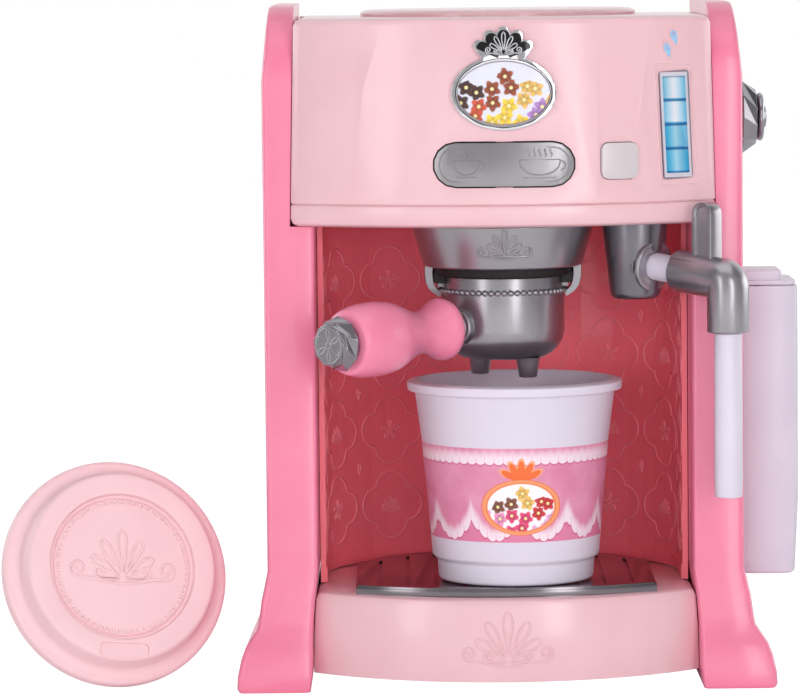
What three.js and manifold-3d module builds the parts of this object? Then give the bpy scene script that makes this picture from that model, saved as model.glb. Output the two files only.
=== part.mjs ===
// A child's toy coffee machine with its takeaway cup and the cup's lid, in millimetres, +Z up.
// The front faces -Y. Pieces are laid out from the machine's centre plane and its panels' front plane,
// and the finished set is centred over the origin on the floor.
import * as THREE from 'three';
import { mergeVertices } from 'three/addons/utils/BufferGeometryUtils.js';
import Module from 'manifold-3d';

const wasm = await Module();
wasm.setup();

// Fits and walls
const gap = 0.3;
const wall = 2.2;
const overrun = 3;
const weld = 1e-4;
const edgeRound = 3;

// Side panels
const panelInside = 75.4;
const panelThickness = 20.8;
const panelHeight = 275.6;
const panelDepth = 128;
const panelCorner = 2.2;
const panelRollHeight = 30;
const panelRib = 3;
const footHeight = 48;
const footFlare = 12.5;
const footFlareFront = 10;
const footRecess = 3.8;
const footRearShare = 0.52;
const panelTopLean = 2.7;
const pegRadius = 3;
const pegReach = 2;
const pegPlace = 16;

// Places and sizes along the panels' depth and height, and between their inner faces, as shares of them
const panelRollDepthShare = 0.2344;
const pocketFrontShare = 0.3125;
const topCoverShare = 0.445;
const topCoverPlaceShare = 0.5156;
const knobPlaceShare = 0.4688;
const knobCentreShare = 0.8251;
const tankPlaceShare = 0.4219;
const tankLengthShare = 0.2969;
const tankBottomShare = 0.8688;
const tankTopShare = 0.5748;
const alcoveFrontShare = 0.211;
const alcoveApexShare = 0.8438;
const alcoveCornerShare = 0.6114;
const alcoveBackShare = 1.4946;
const traySideShare = 0.5156;
const trayBackShare = 0.8125;
const trayHalfShare = 0.7825;
const basePostShare = 0.761;
const basePostBackShare = 0.8125;
const batteryRowShare = 0.406;
const groupPlaceShare = 0.1094;
const groupTopShare = 0.4881;
const steamPlaceShare = 0.7056;

// Head, hung from the panels' tops
const headDrop = 5.4;
const headHeight = 82.7;
const floorHeight = 8.5;
const headLapBottom = 9.7;
const headLapTop = 7.7;
const headApex = -30;
const headCorner = -3;
const headLipRound = 3;
const partingGroove = 0.7;
const topCoverHeight = 2.5;

// Places and sizes on the head's front and behind it, as shares of its height and of half its width
const badgeWidthShare = 0.5491;
const badgeHeightShare = 0.3579;
const badgeCentreShare = 0.6433;
const crestShare = 0.1645;
const gaugeHeightShare = 0.5127;
const gaugeCentreShare = 0.4776;
const gaugePlaceShare = 0.9099;
const rockerWidthShare = 0.7347;
const rockerHeightShare = 0.208;
const rockerCentreShare = 0.3023;
const rockerPinShare = 0.3144;
const rockerPlungerShare = 0.2388;
const buttonWidthShare = 0.2029;
const buttonHeightShare = 0.173;
const buttonCentreShare = 0.312;
const buttonPlaceShare = 0.6048;
const boardHalfShare = 0.7957;
const boardHeightShare = 0.5623;
const boardPostHighShare = 0.7029;
const boardPostLowShare = 0.3979;
const keypadHalfShare = 0.6366;
const keypadHeightShare = 0.1693;
const speakerShare = 0.2418;
const speakerCentreShare = 0.5865;

// Badge, gauge, rocker and push button
const badgeRim = 2.2;
const badgeDepth = 2.6;
const badgePlateDepth = 1.5;
const crestLobes = 5;
const gaugeWidth = 13.4;
const gaugeDepth = 1;
const gaugeRecess = 0.8;
const gaugeLean = 2.6;
const gaugeCellCount = 4;
const gaugeCellWidth = 10.4;
const gaugeCellRise = 0.5;
const gaugeBorder = 2;
const rockerProud = 0.9;
const rockerDepth = 3.2;
const rockerSlot = 0.6;
const rockerPivotPlace = -20.5;
const rockerPinRadius = 1.25;
const rockerHubRadius = 3.4;
const rockerPlungerRadius = 2;
const plungerClearance = 1.4;
const buttonCorner = 2.6;
const buttonProud = 1.2;
const buttonFlange = 1.6;
const buttonStemLength = 9.5;
const buttonStemRadius = 2.2;

// Circuit board, rubber keypad and loudspeaker behind them
const boardPlace = -4;
const boardThickness = 1.6;
const boardRise = 2.5;
const boardPostRadius = 2.6;
const keypadThickness = 1;
const domeRadius = 4;
const domeHeight = 3;
const speakerDepth = 13;
const grilleHoleRadius = 1.5;
const grilleSpacing = 4.4;
const grilleSides = 6;
const grilleCount = 11;
const goldenAngle = 2.4;
const rearPostSize = 10;

// Base, its tray and its bottom cover
const baseBottomShare = 0.129;
const baseTopShare = 0.823;
const baseApex = -26.5;
const baseCorner = 4;
const trayThickness = 3.2;
const trayApex = -21;
const trayCorner = -5.5;
const trayEdge = 0.7;
const trayRim = 6;
const traySlotDepth = 0.8;
const traySlotWidth = 1.4;
const traySlotPitch = 11;
const traySlotCount = 10;
const bottomCoverInset = 1.6;
const basePostFront = -1;
const postRadius = 4;

// Skirting of the cup bay's wall
const skirtingHeight = 6;
const skirtingDepth = 0.5;

// Batteries and their compartment
const batteryRadius = 7.15;
const batteryLength = 50.5;
const batteryNubRadius = 2.7;
const batteryNubLength = 1.2;
const batteryCount = 3;
const contactThickness = 0.6;
const contactReach = 3.2;
const contactWire = 0.5;
const contactTurns = 2;
const compartmentWall = 1.6;
const doorMargin = 6;

// Screws
const screwHeadRadius = 3;
const screwHeadHeight = 1.3;
const screwRadius = 1.2;
const screwLength = 9;

// Group head, measured down from the head
const groupHeight = 17.4;
const groupTaper = 4.8;
const groupRim = 3.4;
const groupBoreDepth = 5.4;
const groupSpigotRadius = 11;
const earReach = 13.6;
const earThickness = 2.6;
const earHalfWidth = 5.5;
const earHook = 3;
const gasketWidth = 7;

// Portafilter, measured down from the group head
const basketDrop = 3.8;
const basketClearance = 3.8;
const basketHeight = 33.6;
const basketRound = 13;
const basketWall = 2;
const beadDrop = 6;
const beadRadius = 1.35;
const beadCount = 40;
const lugReach = 2.4;
const lugHeight = 2.4;
const lugHalfWidth = 4;
const spoutSpread = 13.3;
const spoutTopRadius = 4.5;
const spoutTipRadius = 3.5;
const spoutHeight = 6.4;
const spoutBoreRadius = 2.2;
const spoutPipeRadius = 3.6;
const handleAngle = 225;
const handleDroop = 3.4;
const handleRise = 15;
const collarRadius = 5.5;
const collarLength = 5;
const handleLength = 59;
const handleRadius = 14.6;
const capLength = 9;
const capRadius = 11.2;
const capSides = 9;

// Steam pipe, measured down from the head
const steamDepth = 8;
const steamPostTop = 12.8;
const steamPostTip = 9.6;
const steamPostHeight = 31;
const steamAxisDrop = 16.5;
const steamAngle = -45;
const steamDroop = 6;
const steamSocketRadius = 9.7;
const steamSocketReach = 7.5;
const steamRingLength = 2.4;
const steamPipeRadius = 5.5;
const steamElbowStart = 23.6;
const steamElbowRadius = 8.35;
const steamReach = 49.2;
const steamElbowDrop = 25.9;
const steamLeverPlace = 38.2;
const steamLeverWidth = 10.3;
const steamLeverThickness = 6.9;
const steamLeverRib = 3;
const steamLeverEdge = 1.6;
const steamPipeSeat = 9;
const steamLeverRise = 25.6;
const wandLengthShare = 0.443;
const wandSpigotRadius = 3.6;
const wandSpigotLength = 7;

// Knob on the right panel
const knobRadius = 15.7;
const knobBand = 3.6;
const knobFaceRadius = 11.2;
const knobFaceHeight = 9.6;
const knobSides = 10;
const knobRingRadius = 10;
const knobRingLength = 2.6;
const knobDomeHeight = 1.8;
const knobShaftRadius = 3;
const retainerRadius = 6;
const retainerThickness = 1.2;

// Water tank on the right panel
const tankThickness = 24.8;
const tankCorner = 5;
const tankTaper = 1.5;
const tankTaperHeight = 30;
const tankWall = 2;
const tankBackWall = 7.4;
const tankLidRise = 4.4;
const tankLidInset = 6.5;
const tankLidPlug = 2.4;
const railHeight = 26;
const railNeck = 4;
const railHead = 7;
const railNeckDepth = 2;
const railHeadDepth = 2.2;

// Cup
const cupAcross = 5;
const cupClearance = 1.9;
const cupRimRadius = 43.2;
const cupRimHeight = 4.4;
const cupBaseRadius = 31;
const cupNeckRadius = 40;
const cupStepHeight = 8.2;
const cupStep = 1.6;
const cupWall = 1.8;

// Cup lid, standing on its edge beside the machine
const lidRadius = 47;
const lidHeight = 16.3;
const lidPlateauRadius = 39.5;
const lidRingRadius = 29.2;
const lidGroove = 1.4;
const lidWall = 1.6;
const lidSipPlace = 34.7;
const lidSipWidth = 20;
const lidSipHeight = 6;
const lidAway = 63.8;
const lidPlace = 25;
const lidLean = 20;
const lidTurn = 19.2;

// Steps of round surfaces
const fineSteps = 28;
const roundSteps = 18;
const smallSteps = 10;
const screwSteps = 8;
const arcSteps = 7;
const cornerSteps = 2;
const bowSteps = 14;

// Sizes and places worked out from the ones above
const panelOutside = panelInside + panelThickness;
const insideHalf = panelInside - gap;
const shellRear = panelDepth - wall - gap;
const headTop = panelHeight - headDrop;
const headBottom = headTop - headHeight;
const headParting = headBottom + floorHeight;
const headHalfBottom = panelInside + headLapBottom;
const headHalfTop = panelInside + headLapTop;
const headSeat = headHalfBottom + gap;
const badgeWidth = panelInside * badgeWidthShare;
const badgeHeight = headHeight * badgeHeightShare;
const badgeCentre = headBottom + headHeight * badgeCentreShare;
const crestRadius = headHeight * crestShare;
const gaugeHeight = headHeight * gaugeHeightShare;
const gaugeCentre = headBottom + headHeight * gaugeCentreShare;
const gaugePlace = panelInside * gaugePlaceShare;
const rockerWidth = panelInside * rockerWidthShare;
const rockerHeight = headHeight * rockerHeightShare;
const rockerCentre = headBottom + headHeight * rockerCentreShare;
const rockerPinLength = headHeight * rockerPinShare;
const rockerPlungerPlace = panelInside * rockerPlungerShare;
const buttonWidth = panelInside * buttonWidthShare;
const buttonHeight = headHeight * buttonHeightShare;
const buttonCentre = headBottom + headHeight * buttonCentreShare;
const buttonPlace = panelInside * buttonPlaceShare;
const boardBottom = headParting + boardRise;
const boardTop = boardBottom + headHeight * boardHeightShare;
const boardHalfWidth = panelInside * boardHalfShare;
const keypadHalfWidth = panelInside * keypadHalfShare;
const keypadHeight = headHeight * keypadHeightShare;
const speakerRadius = headHeight * speakerShare;
const speakerCentre = headBottom + headHeight * speakerCentreShare;
const baseBottom = footHeight * baseBottomShare;
const baseTop = footHeight * baseTopShare;
const trayBottom = baseTop + gap;
const trayTop = trayBottom + trayThickness;
const trayHalf = panelInside * trayHalfShare;
const traySideEnd = panelDepth * traySideShare;
const trayBack = panelDepth * trayBackShare;
const alcoveApex = panelDepth * alcoveApexShare;
const alcoveCornerRadius = panelInside * alcoveCornerShare;
const alcoveBackRadius = panelInside * alcoveBackShare;
const batteryRowCentre = panelDepth * batteryRowShare;
const groupPlace = panelDepth * groupPlaceShare;
const groupTop = headBottom - gap;
const groupBottom = headBottom - groupHeight;
const groupTopRadius = panelInside * groupTopShare;
const groupBottomRadius = groupTopRadius - groupTaper;
const groupBoreRadius = groupBottomRadius - groupRim;
const basketRadius = groupBoreRadius - basketClearance;
const basketTop = groupBottom - basketDrop;
const basketBottom = basketTop - basketHeight;
const beadPlace = basketTop - beadDrop;
const spoutBottom = basketBottom - spoutHeight;
const handleStart = basketRadius + gap + collarLength;
const steamPlace = panelInside * steamPlaceShare;
const steamAxis = headBottom - steamAxisDrop;
const steamPostBottom = headBottom - steamPostHeight;
const wandBottom = steamAxis - steamElbowDrop - (headBottom - baseTop) * wandLengthShare;
const knobPlace = panelDepth * knobPlaceShare;
const knobCentre = panelHeight * knobCentreShare;
const tankBottom = footHeight * tankBottomShare;
const tankTop = panelHeight * tankTopShare;
const tankPlace = panelDepth * tankPlaceShare;
const tankLength = panelDepth * tankLengthShare;
const railBottom = footHeight + railNeckDepth;
const railTop = railBottom + railHeight;
const cupHeight = spoutBottom - trayTop - gap - cupClearance;

// Ogee foot of a panel from the floor up: shares of its height, of its flare and of its inner recess.
const footShares = [
  [0, 0.93, 1], [0.035, 1, 0.92], [0.14, 0.975, 0.72], [0.28, 0.86, 0.7], [0.38, 0.71, 0.7],
  [0.46, 0.5, 0.68], [0.52, 0.34, 0.65], [0.6, 0.28, 0.6], [0.76, 0.2, 0.42], [0.9, 0.08, 0.13], [1, 0, 0],
];

// Heights at which the base's sides bend with the panels' feet, as shares of the foot's height.
const baseLevelShares = [0.46, 0.7];

// Handle from its inner end: shares of its length and of its largest radius.
const handleShares = [
  [0, 0], [0, 0.62], [0.03, 0.82], [0.085, 0.86], [0.2, 0.65], [0.3, 0.565], [0.38, 0.6], [0.48, 0.75],
  [0.6, 0.93], [0.71, 1], [0.82, 0.975], [0.93, 0.86], [1, 0.68], [1, 0],
];

// Cup's outer side from the step to under the rim: shares of the height between them and of the neck radius.
const cupSideShares = [[0, 0.838], [0.14, 0.852], [0.72, 0.94], [1, 1]];

function finish(colour, roughness, metalness) {
  return new THREE.MeshStandardMaterial({ color: colour, roughness, metalness });
}

// A closed geometry as a solid whose faces point out. Collapsed faces at poles are left out.
function solid(geometry) {
  const bare = geometry.clone();
  bare.deleteAttribute('normal');
  bare.deleteAttribute('uv');
  const merged = mergeVertices(bare, weld);
  const points = merged.attributes.position;
  const corners = merged.index.array;
  const [a, b, c] = [new THREE.Vector3(), new THREE.Vector3(), new THREE.Vector3()];
  const triangles = [];
  let volume = 0;
  for (let i = 0; i < corners.length; i += 3) {
    const [p, q, r] = corners.slice(i, i + 3);
    if (p === q || q === r || r === p) continue;
    triangles.push(p, q, r);
    a.fromBufferAttribute(points, p);
    b.fromBufferAttribute(points, q);
    c.fromBufferAttribute(points, r);
    volume += a.dot(b.cross(c));
  }
  if (volume < 0) triangles.reverse();
  const triVerts = new Uint32Array(triangles);
  return new wasm.Manifold(new wasm.Mesh({ numProp: 3, vertProperties: points.array, triVerts }));
}

function geometryOf(made) {
  const mesh = made.getMesh();
  const geometry = new THREE.BufferGeometry();
  geometry.setAttribute('position', new THREE.BufferAttribute(new Float32Array(mesh.vertProperties), 3));
  geometry.setIndex(new THREE.BufferAttribute(new Uint32Array(mesh.triVerts), 1));
  geometry.computeVertexNormals();
  return geometry;
}

function join(first, ...others) {
  return geometryOf(others.reduce((sum, other) => sum.add(solid(other)), solid(first)));
}

function cut(first, ...others) {
  return geometryOf(others.reduce((rest, other) => rest.subtract(solid(other)), solid(first)));
}

function common(first, second) {
  return geometryOf(solid(first).intersect(solid(second)));
}

function block([x0, x1], [y0, y1], [z0, z1]) {
  const box = new THREE.BoxGeometry(x1 - x0, y1 - y0, z1 - z0);
  return box.translate((x0 + x1) / 2, (y0 + y1) / 2, (z0 + z1) / 2);
}

// A profile of [radius, height] pairs turned about the Z axis.
function turned(profile, steps = roundSteps) {
  const points = profile.map(([radius, height]) => new THREE.Vector2(radius, height));
  return new THREE.LatheGeometry(points, steps).rotateX(Math.PI / 2);
}

function rod(radius, z0, z1, steps = smallSteps) {
  return turned([[0, z0], [radius, z0], [radius, z1], [0, z1]], steps);
}

function tube(inner, outer, z0, z1, steps = roundSteps) {
  return turned([[inner, z0], [outer, z0], [outer, z1], [inner, z1], [inner, z0]], steps);
}

// An outline of [x, y] pairs raised from z0 to z1.
function prism(outline, z0, z1) {
  const shape = new THREE.Shape(outline.map(([x, y]) => new THREE.Vector2(x, y)));
  return new THREE.ExtrudeGeometry(shape, { depth: z1 - z0, bevelEnabled: false }).translate(0, 0, z0);
}

// An outline of [x, z] pairs, upright, run from y0 to y1.
function uprightPrism(outline, y0, y1) {
  return prism(outline, -y1, -y0).rotateX(Math.PI / 2);
}

// A closed skin over rings of [x, y, z] points that run the same way round, with a flat cap at each end.
function loft(rings) {
  const count = rings[0].length;
  const geometry = new THREE.BufferGeometry();
  geometry.setAttribute('position', new THREE.Float32BufferAttribute(rings.flat(2), 3));
  const index = [];
  for (let ring = 0; ring < rings.length - 1; ring++) {
    for (let i = 0; i < count; i++) {
      const a = ring * count + i;
      const b = ring * count + (i + 1) % count;
      index.push(a, b, b + count, a, b + count, a + count);
    }
  }
  const cap = (ring) => THREE.ShapeUtils.triangulateShape(ring.map(([x, y]) => new THREE.Vector2(x, y)), []);
  const last = (rings.length - 1) * count;
  for (const [a, b, c] of cap(rings[0])) index.push(a, c, b);
  for (const [a, b, c] of cap(rings[rings.length - 1])) index.push(last + a, last + b, last + c);
  geometry.setIndex(index);
  return geometry;
}

function arc(centreX, centreY, radius, from, to, steps) {
  return Array.from({ length: steps + 1 }, (_, i) => {
    const angle = THREE.MathUtils.degToRad(from + (to - from) * i / steps);
    return [centreX + radius * Math.cos(angle), centreY + radius * Math.sin(angle)];
  });
}

function roundedRectangle([x0, x1], [y0, y1], radius, steps = cornerSteps) {
  return [
    ...arc(x1 - radius, y0 + radius, radius, -90, 0, steps),
    ...arc(x1 - radius, y1 - radius, radius, 0, 90, steps),
    ...arc(x0 + radius, y1 - radius, radius, 90, 180, steps),
    ...arc(x0 + radius, y0 + radius, radius, 180, 270, steps),
  ];
}

function ellipse(width, height, centre, steps) {
  return Array.from({ length: steps }, (_, i) => {
    const angle = 2 * Math.PI * i / steps;
    return [width / 2 * Math.cos(angle), centre + height / 2 * Math.sin(angle)];
  });
}

// A bow front: the circle through both corners and the apex, which bulges towards -Y.
function bowCircle(half, corner, apex) {
  const rise = corner - apex;
  const radius = (half * half + rise * rise) / (2 * rise);
  return { radius, centre: apex + radius };
}

function bow(circle, half, steps = bowSteps) {
  const sweep = THREE.MathUtils.radToDeg(Math.asin(Math.min(1, half / circle.radius)));
  return arc(0, circle.centre, circle.radius, -90 - sweep, -90 + sweep, steps);
}

function shrunk(circle, inset) {
  return { radius: circle.radius - inset, centre: circle.centre };
}

function mirrored(geometry) {
  return geometryOf(solid(geometry.clone().scale(-1, 1, 1)));
}

const machine = new THREE.Group();

function piece(name, geometry, material, holder = machine) {
  const mesh = new THREE.Mesh(geometryOf(solid(geometry)), material);
  mesh.name = name;
  holder.add(mesh);
  return mesh;
}

const coverPlace = [shellRear + gap, shellRear + gap + wall];

// Interpolates a column of the foot's table at a height above the floor.
function footShare(height, column) {
  const share = Math.min(1, height / footHeight);
  const next = Math.max(1, footShares.findIndex(([level]) => level >= share));
  const [low, high] = [footShares[next - 1], footShares[next]];
  return low[column] + (high[column] - low[column]) * (share - low[0]) / (high[0] - low[0]);
}

function footInside(height) {
  return panelInside + footRecess * footShare(height, 2);
}

// Half the head's width at a height.
function headHalf(height) {
  return headHalfBottom + (headHalfTop - headHalfBottom) * (height - headBottom) / (headTop - headBottom);
}

// Side panels: an ogee foot, a straight shaft that the head rests on, and a thinner top beside the head
// whose front edge rolls back. The inner side is open between ribs, and pegs locate the head and the base.
const headPegs = [[pegPlace, headParting + pegPlace], [pegPlace, headTop - pegPlace]];
const basePegs = [[pegPlace, (baseBottom + baseTop) / 2]];

function panelRings() {
  const rings = footShares.map(([level, flare, recess]) => roundedRectangle(
    [panelInside + footRecess * recess, panelOutside + footFlare * flare],
    [-footFlareFront * flare, panelDepth],
    panelCorner,
  ).map(([x, y]) => {
    const toeIn = footFlare * flare * (1 - footRearShare) * Math.max(0, y) / panelDepth;
    return [x > panelOutside - panelCorner ? x - toeIn : x, y, level * footHeight];
  }));
  const rollSteps = 6;
  for (let i = 0; i <= rollSteps; i++) {
    const rise = Math.sin(Math.PI / 2 * i / rollSteps);
    const front = panelDepth * panelRollDepthShare * (1 - Math.cos(Math.PI / 2 * i / rollSteps));
    const height = panelHeight - panelRollHeight * (1 - rise);
    const close = Math.max(0, 1 - (panelHeight - height) / panelCorner);
    const inset = panelCorner * (1 - Math.sqrt(1 - close * close)) * 0.7;
    const lean = panelTopLean * (1 - (panelHeight - height) / panelRollHeight);
    rings.push(roundedRectangle(
      [panelInside + inset, panelOutside - lean - inset],
      [front, panelDepth - inset],
      panelCorner,
    ).map(([x, y]) => [x, y, height]));
  }
  return rings;
}

function panel() {
  const pocketY = [panelDepth * pocketFrontShare, panelDepth - wall];
  const levels = [footHeight, headBottom / 2, headBottom, panelHeight - panelRollHeight];
  const insides = [panelInside, panelInside, headSeat];
  const pockets = insides.flatMap((inside, i) => {
    const height = [levels[i] + panelRib, levels[i + 1] - panelRib];
    const hollow = block(
      [inside + wall, panelOutside - wall],
      [wall + panelCorner, panelDepth - wall],
      height,
    );
    return [block([inside - overrun, panelOutside - wall], pocketY, height), hollow];
  });
  const headRoom = loft([headBottom - gap, panelHeight + overrun].map((height) => [
    [panelInside - overrun, -overrun, height],
    [headHalf(height) + gap, -overrun, height],
    [headHalf(height) + gap, panelDepth + overrun, height],
    [panelInside - overrun, panelDepth + overrun, height],
  ]));
  const footCore = block(
    [footInside(0) + wall, panelOutside - wall],
    [wall + panelCorner, panelDepth - wall],
    [-overrun, footHeight - panelRib - wall],
  );
  const pegs = headPegs.map(([y, z]) => (
    rod(pegRadius, headHalf(z) - wall - pegReach, headSeat + wall).rotateY(Math.PI / 2).translate(0, y, z)
  ));
  for (const [y, z] of basePegs) {
    const inside = footInside(z);
    const peg = rod(pegRadius, inside - gap - wall - pegReach, inside + wall);
    pegs.push(peg.rotateY(Math.PI / 2).translate(0, y, z));
  }
  return join(cut(loft(panelRings()), headRoom, ...pockets, footCore), ...pegs);
}

const panelPink = [0xf08ca8, 0.38, 0];
piece('left_side_panel', mirrored(panel()), finish(...panelPink));
const knobHole = rod(knobShaftRadius + gap, panelInside, panelOutside + overrun, smallSteps)
  .rotateY(Math.PI / 2).translate(0, knobPlace, knobCentre);
piece('right_side_panel', cut(panel(), knobHole), finish(...panelPink));

// Head: bow-fronted, and a little narrower towards its top.

function headCircle(height) {
  return bowCircle(headHalf(height), headCorner, headApex);
}

function headFront(x, height) {
  const { radius, centre } = headCircle(height);
  return centre - Math.sqrt(radius * radius - x * x);
}

function headRing(height, inset) {
  const half = headHalf(height) - inset;
  const front = bow(shrunk(headCircle(height), inset), half - headLipRound);
  const lip = headCorner + headLipRound / 2;
  const back = [[half, lip], [half, shellRear]];
  const left = [...back].reverse().map(([x, y]) => [-x, y]);
  return [...front, ...back, ...left].map(([x, y]) => [x, y, height]);
}

function headCavity(from, to) {
  return loft([from, to].map((height) => {
    const half = headHalf(height) - wall;
    return [
      ...bow(shrunk(headCircle(height), wall), half),
      [half, shellRear + overrun],
      [-half, shellRear + overrun],
    ].map(([x, y]) => [x, y, height]);
  }));
}

function roundInset(radius, depth) {
  return radius - Math.sqrt(Math.max(0, radius * radius - (radius - depth) * (radius - depth)));
}

const headPink = [0xf2cdd2, 0.4, 0];
const roundLevelShares = [0, 0.3, 1];
const pegHoles = (places, halfAt) => places.flatMap(([y, z]) => [-1, 1].map((side) => (
  rod(pegRadius + gap, halfAt(z) - wall - overrun, halfAt(z) + overrun)
    .rotateY(Math.PI / 2).scale(side, 1, 1).translate(0, y, z)
)));

function pill(width, height, centre) {
  const radius = height / 2;
  const reach = width / 2 - radius;
  return [
    ...arc(reach, centre, radius, -90, 90, arcSteps),
    ...arc(-reach, centre, radius, 90, 270, arcSteps),
  ];
}

// The room between two shells that follow the head's bow, for pieces that lie on its front.
function bowLayer(inner, outer, centre, height) {
  const circle = headCircle(centre);
  const half = insideHalf;
  const outline = [...bow(shrunk(circle, -outer), half), ...bow(shrunk(circle, -inner), half).reverse()];
  return prism(outline, centre - height / 2, centre + height / 2);
}

const buttonTurn = Math.asin(buttonPlace / headCircle(buttonCentre).radius);
const gaugeTurn = Math.asin(gaugePlace / headCircle(gaugeCentre).radius);

function onBow(geometry, x, height, turn, lean = 0) {
  return geometry.rotateY(-THREE.MathUtils.degToRad(lean)).rotateZ(turn)
    .translate(x, headFront(x, height), height);
}

function headHousing() {
  const bottom = headParting + partingGroove / 2;
  const rings = [headRing(bottom, partingGroove), headRing(bottom + partingGroove, 0)];
  for (const share of [...roundLevelShares].reverse()) {
    const depth = edgeRound * share;
    rings.push(headRing(headTop - depth, roundInset(edgeRound, depth)));
  }
  const rockerHole = uprightPrism(
    pill(rockerWidth + 2 * rockerSlot, rockerHeight + 2 * rockerSlot, rockerCentre),
    headApex - overrun,
    rockerPivotPlace,
  );
  const buttonHole = onBow(uprightPrism(
    roundedRectangle(
      [-buttonWidth / 2 - gap, buttonWidth / 2 + gap],
      [-buttonHeight / 2 - gap, buttonHeight / 2 + gap],
      buttonCorner + gap,
    ),
    -overrun,
    wall + overrun,
  ), buttonPlace, buttonCentre, buttonTurn);
  const gaugePocket = onBow(uprightPrism(
    roundedRectangle(
      [-gaugeWidth / 2 - gap, gaugeWidth / 2 + gap],
      [-gaugeHeight / 2 - gap, gaugeHeight / 2 + gap],
      panelCorner / 2,
    ),
    -overrun,
    gaugeRecess,
  ), gaugePlace, gaugeCentre, gaugeTurn, gaugeLean);
  const boardPosts = boardPostPlaces.map(([x, z]) => (
    rod(boardPostRadius, headFront(x, z) + wall / 2, boardPlace - gap, screwSteps)
      .rotateX(-Math.PI / 2).translate(x, 0, z)
  ));
  const lugDepth = [headApex + wall / 2, rockerPivotPlace + rockerHubRadius];
  const lugs = rockerLugLevels.map((level) => cut(
    block([-rockerHubRadius, rockerHubRadius], lugDepth, level),
    rod(rockerPinRadius + gap, level[0] - overrun, level[1] + overrun).translate(0, rockerPivotPlace, 0),
  ));
  const rearPosts = [-1, 1].map((side) => block(
    [headHalfTop - wall - rearPostSize, headHalfTop - wall / 2],
    [shellRear - rearPostSize, shellRear],
    [headTop - wall - rearPostSize, headTop - wall / 2],
  ).scale(side, 1, 1));
  const shell = cut(
    loft(rings),
    headCavity(bottom - overrun, headTop - wall),
    rockerHole,
    buttonHole,
    gaugePocket,
    ...pegHoles(headPegs, headHalf),
  );
  const built = join(shell, ...boardPosts, ...lugs, ...rearPosts);
  return cut(built, ...rearScrewPlaces.slice(0, 2).map(([x, z]) => screwHole(x, z)));
}

const boardPostPlaces = [-1, 1].flatMap((side) => [
  [side * panelInside * boardPostHighShare, boardTop - boardPostRadius - gap],
  [side * panelInside * boardPostLowShare, boardBottom + boardPostRadius + gap],
]);
const rockerLug = (rockerPinLength - rockerHeight) / 2;
const rockerLugLevels = [
  [rockerCentre - rockerPinLength / 2 + gap, rockerCentre - rockerPinLength / 2 + rockerLug - gap],
  [rockerCentre + rockerPinLength / 2 - rockerLug + gap, rockerCentre + rockerPinLength / 2 - gap],
];
const screwInset = wall + rearPostSize / 2;
const rearScrewPlaces = [
  [-headHalfTop + screwInset, headTop - screwInset],
  [headHalfTop - screwInset, headTop - screwInset],
  [-insideHalf + screwInset, (baseBottom + baseTop) / 2],
  [insideHalf - screwInset, (baseBottom + baseTop) / 2],
];

function screwHole(x, z) {
  return rod(screwRadius + gap, shellRear - screwLength, panelDepth + overrun).rotateX(-Math.PI / 2)
    .translate(x, 0, z);
}

piece('head_housing', headHousing(), finish(...headPink));

// Lower tray of the head, with the holes that the group head and the steam post plug into.
function headFloor() {
  const top = headParting - partingGroove / 2;
  const rings = roundLevelShares.map((share) => (
    headRing(headBottom + edgeRound * share, roundInset(edgeRound, edgeRound * share))
  ));
  rings.push(headRing(top - partingGroove, 0), headRing(top, partingGroove));
  return cut(
    loft(rings),
    headCavity(headBottom + wall, top + overrun),
    rod(groupSpigotRadius + gap, headBottom - overrun, headParting, roundSteps).translate(0, groupPlace, 0),
    rod(steamPipeRadius + gap, headBottom - overrun, headParting).translate(steamPlace, steamDepth, 0),
  );
}

piece('head_floor', headFloor(), finish(...headPink));

// Low round cover on the head.
const coverRadius = panelDepth * topCoverShare;
piece('top_cover', turned([
  [0, 0],
  [coverRadius - edgeRound, 0],
  [coverRadius, edgeRound / 3],
  [coverRadius - edgeRound / 4, topCoverHeight * 0.7],
  [coverRadius - 2 * edgeRound, topCoverHeight],
  [0, topCoverHeight],
], fineSteps).translate(0, panelDepth * topCoverPlaceShare, headTop + gap), finish(...headPink));

// Oval frame with a scalloped crest, bent to the head's bow, and the printed plate inside it.
function crestOutline() {
  const foot = badgeCentre + badgeHeight / 2 - badgeRim;
  const spread = 80;
  const steps = 4 * crestLobes;
  const rim = Array.from({ length: steps + 1 }, (_, i) => {
    const angle = THREE.MathUtils.degToRad(90 + spread * (0.5 - i / steps) * 2 * 0.9);
    const lobe = Math.abs(Math.sin(Math.PI * crestLobes * i / steps));
    const radius = crestRadius * (0.8 + 0.2 * Math.sqrt(lobe));
    return [radius * Math.cos(angle), foot + radius * Math.sin(angle)];
  });
  return [[-crestRadius * 0.45, foot - badgeRim], ...rim, [crestRadius * 0.45, foot - badgeRim]];
}

function badgeBezel() {
  const deep = [headApex - 2 * badgeDepth - overrun, 0];
  const oval = uprightPrism(ellipse(badgeWidth, badgeHeight, badgeCentre, fineSteps), ...deep);
  const inner = uprightPrism(
    ellipse(badgeWidth - 2 * badgeRim, badgeHeight - 2 * badgeRim, badgeCentre, fineSteps),
    ...deep,
  );
  const face = cut(join(oval, uprightPrism(crestOutline(), ...deep)), inner);
  return common(face, bowLayer(gap, badgeDepth, badgeCentre, 2 * (badgeHeight + crestRadius)));
}

piece('badge_bezel', badgeBezel(), finish(0xd8d8dc, 0.12, 1));
const badgeInner = 2 * (badgeRim + gap);
const plateOutline = ellipse(badgeWidth - badgeInner, badgeHeight - badgeInner, badgeCentre, fineSteps);
piece('badge_plate', common(
  uprightPrism(plateOutline, headApex * 2, 0),
  bowLayer(gap, badgePlateDepth, badgeCentre, 2 * badgeHeight),
), finish(0xd9d3ea, 0.3, 0));

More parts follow.
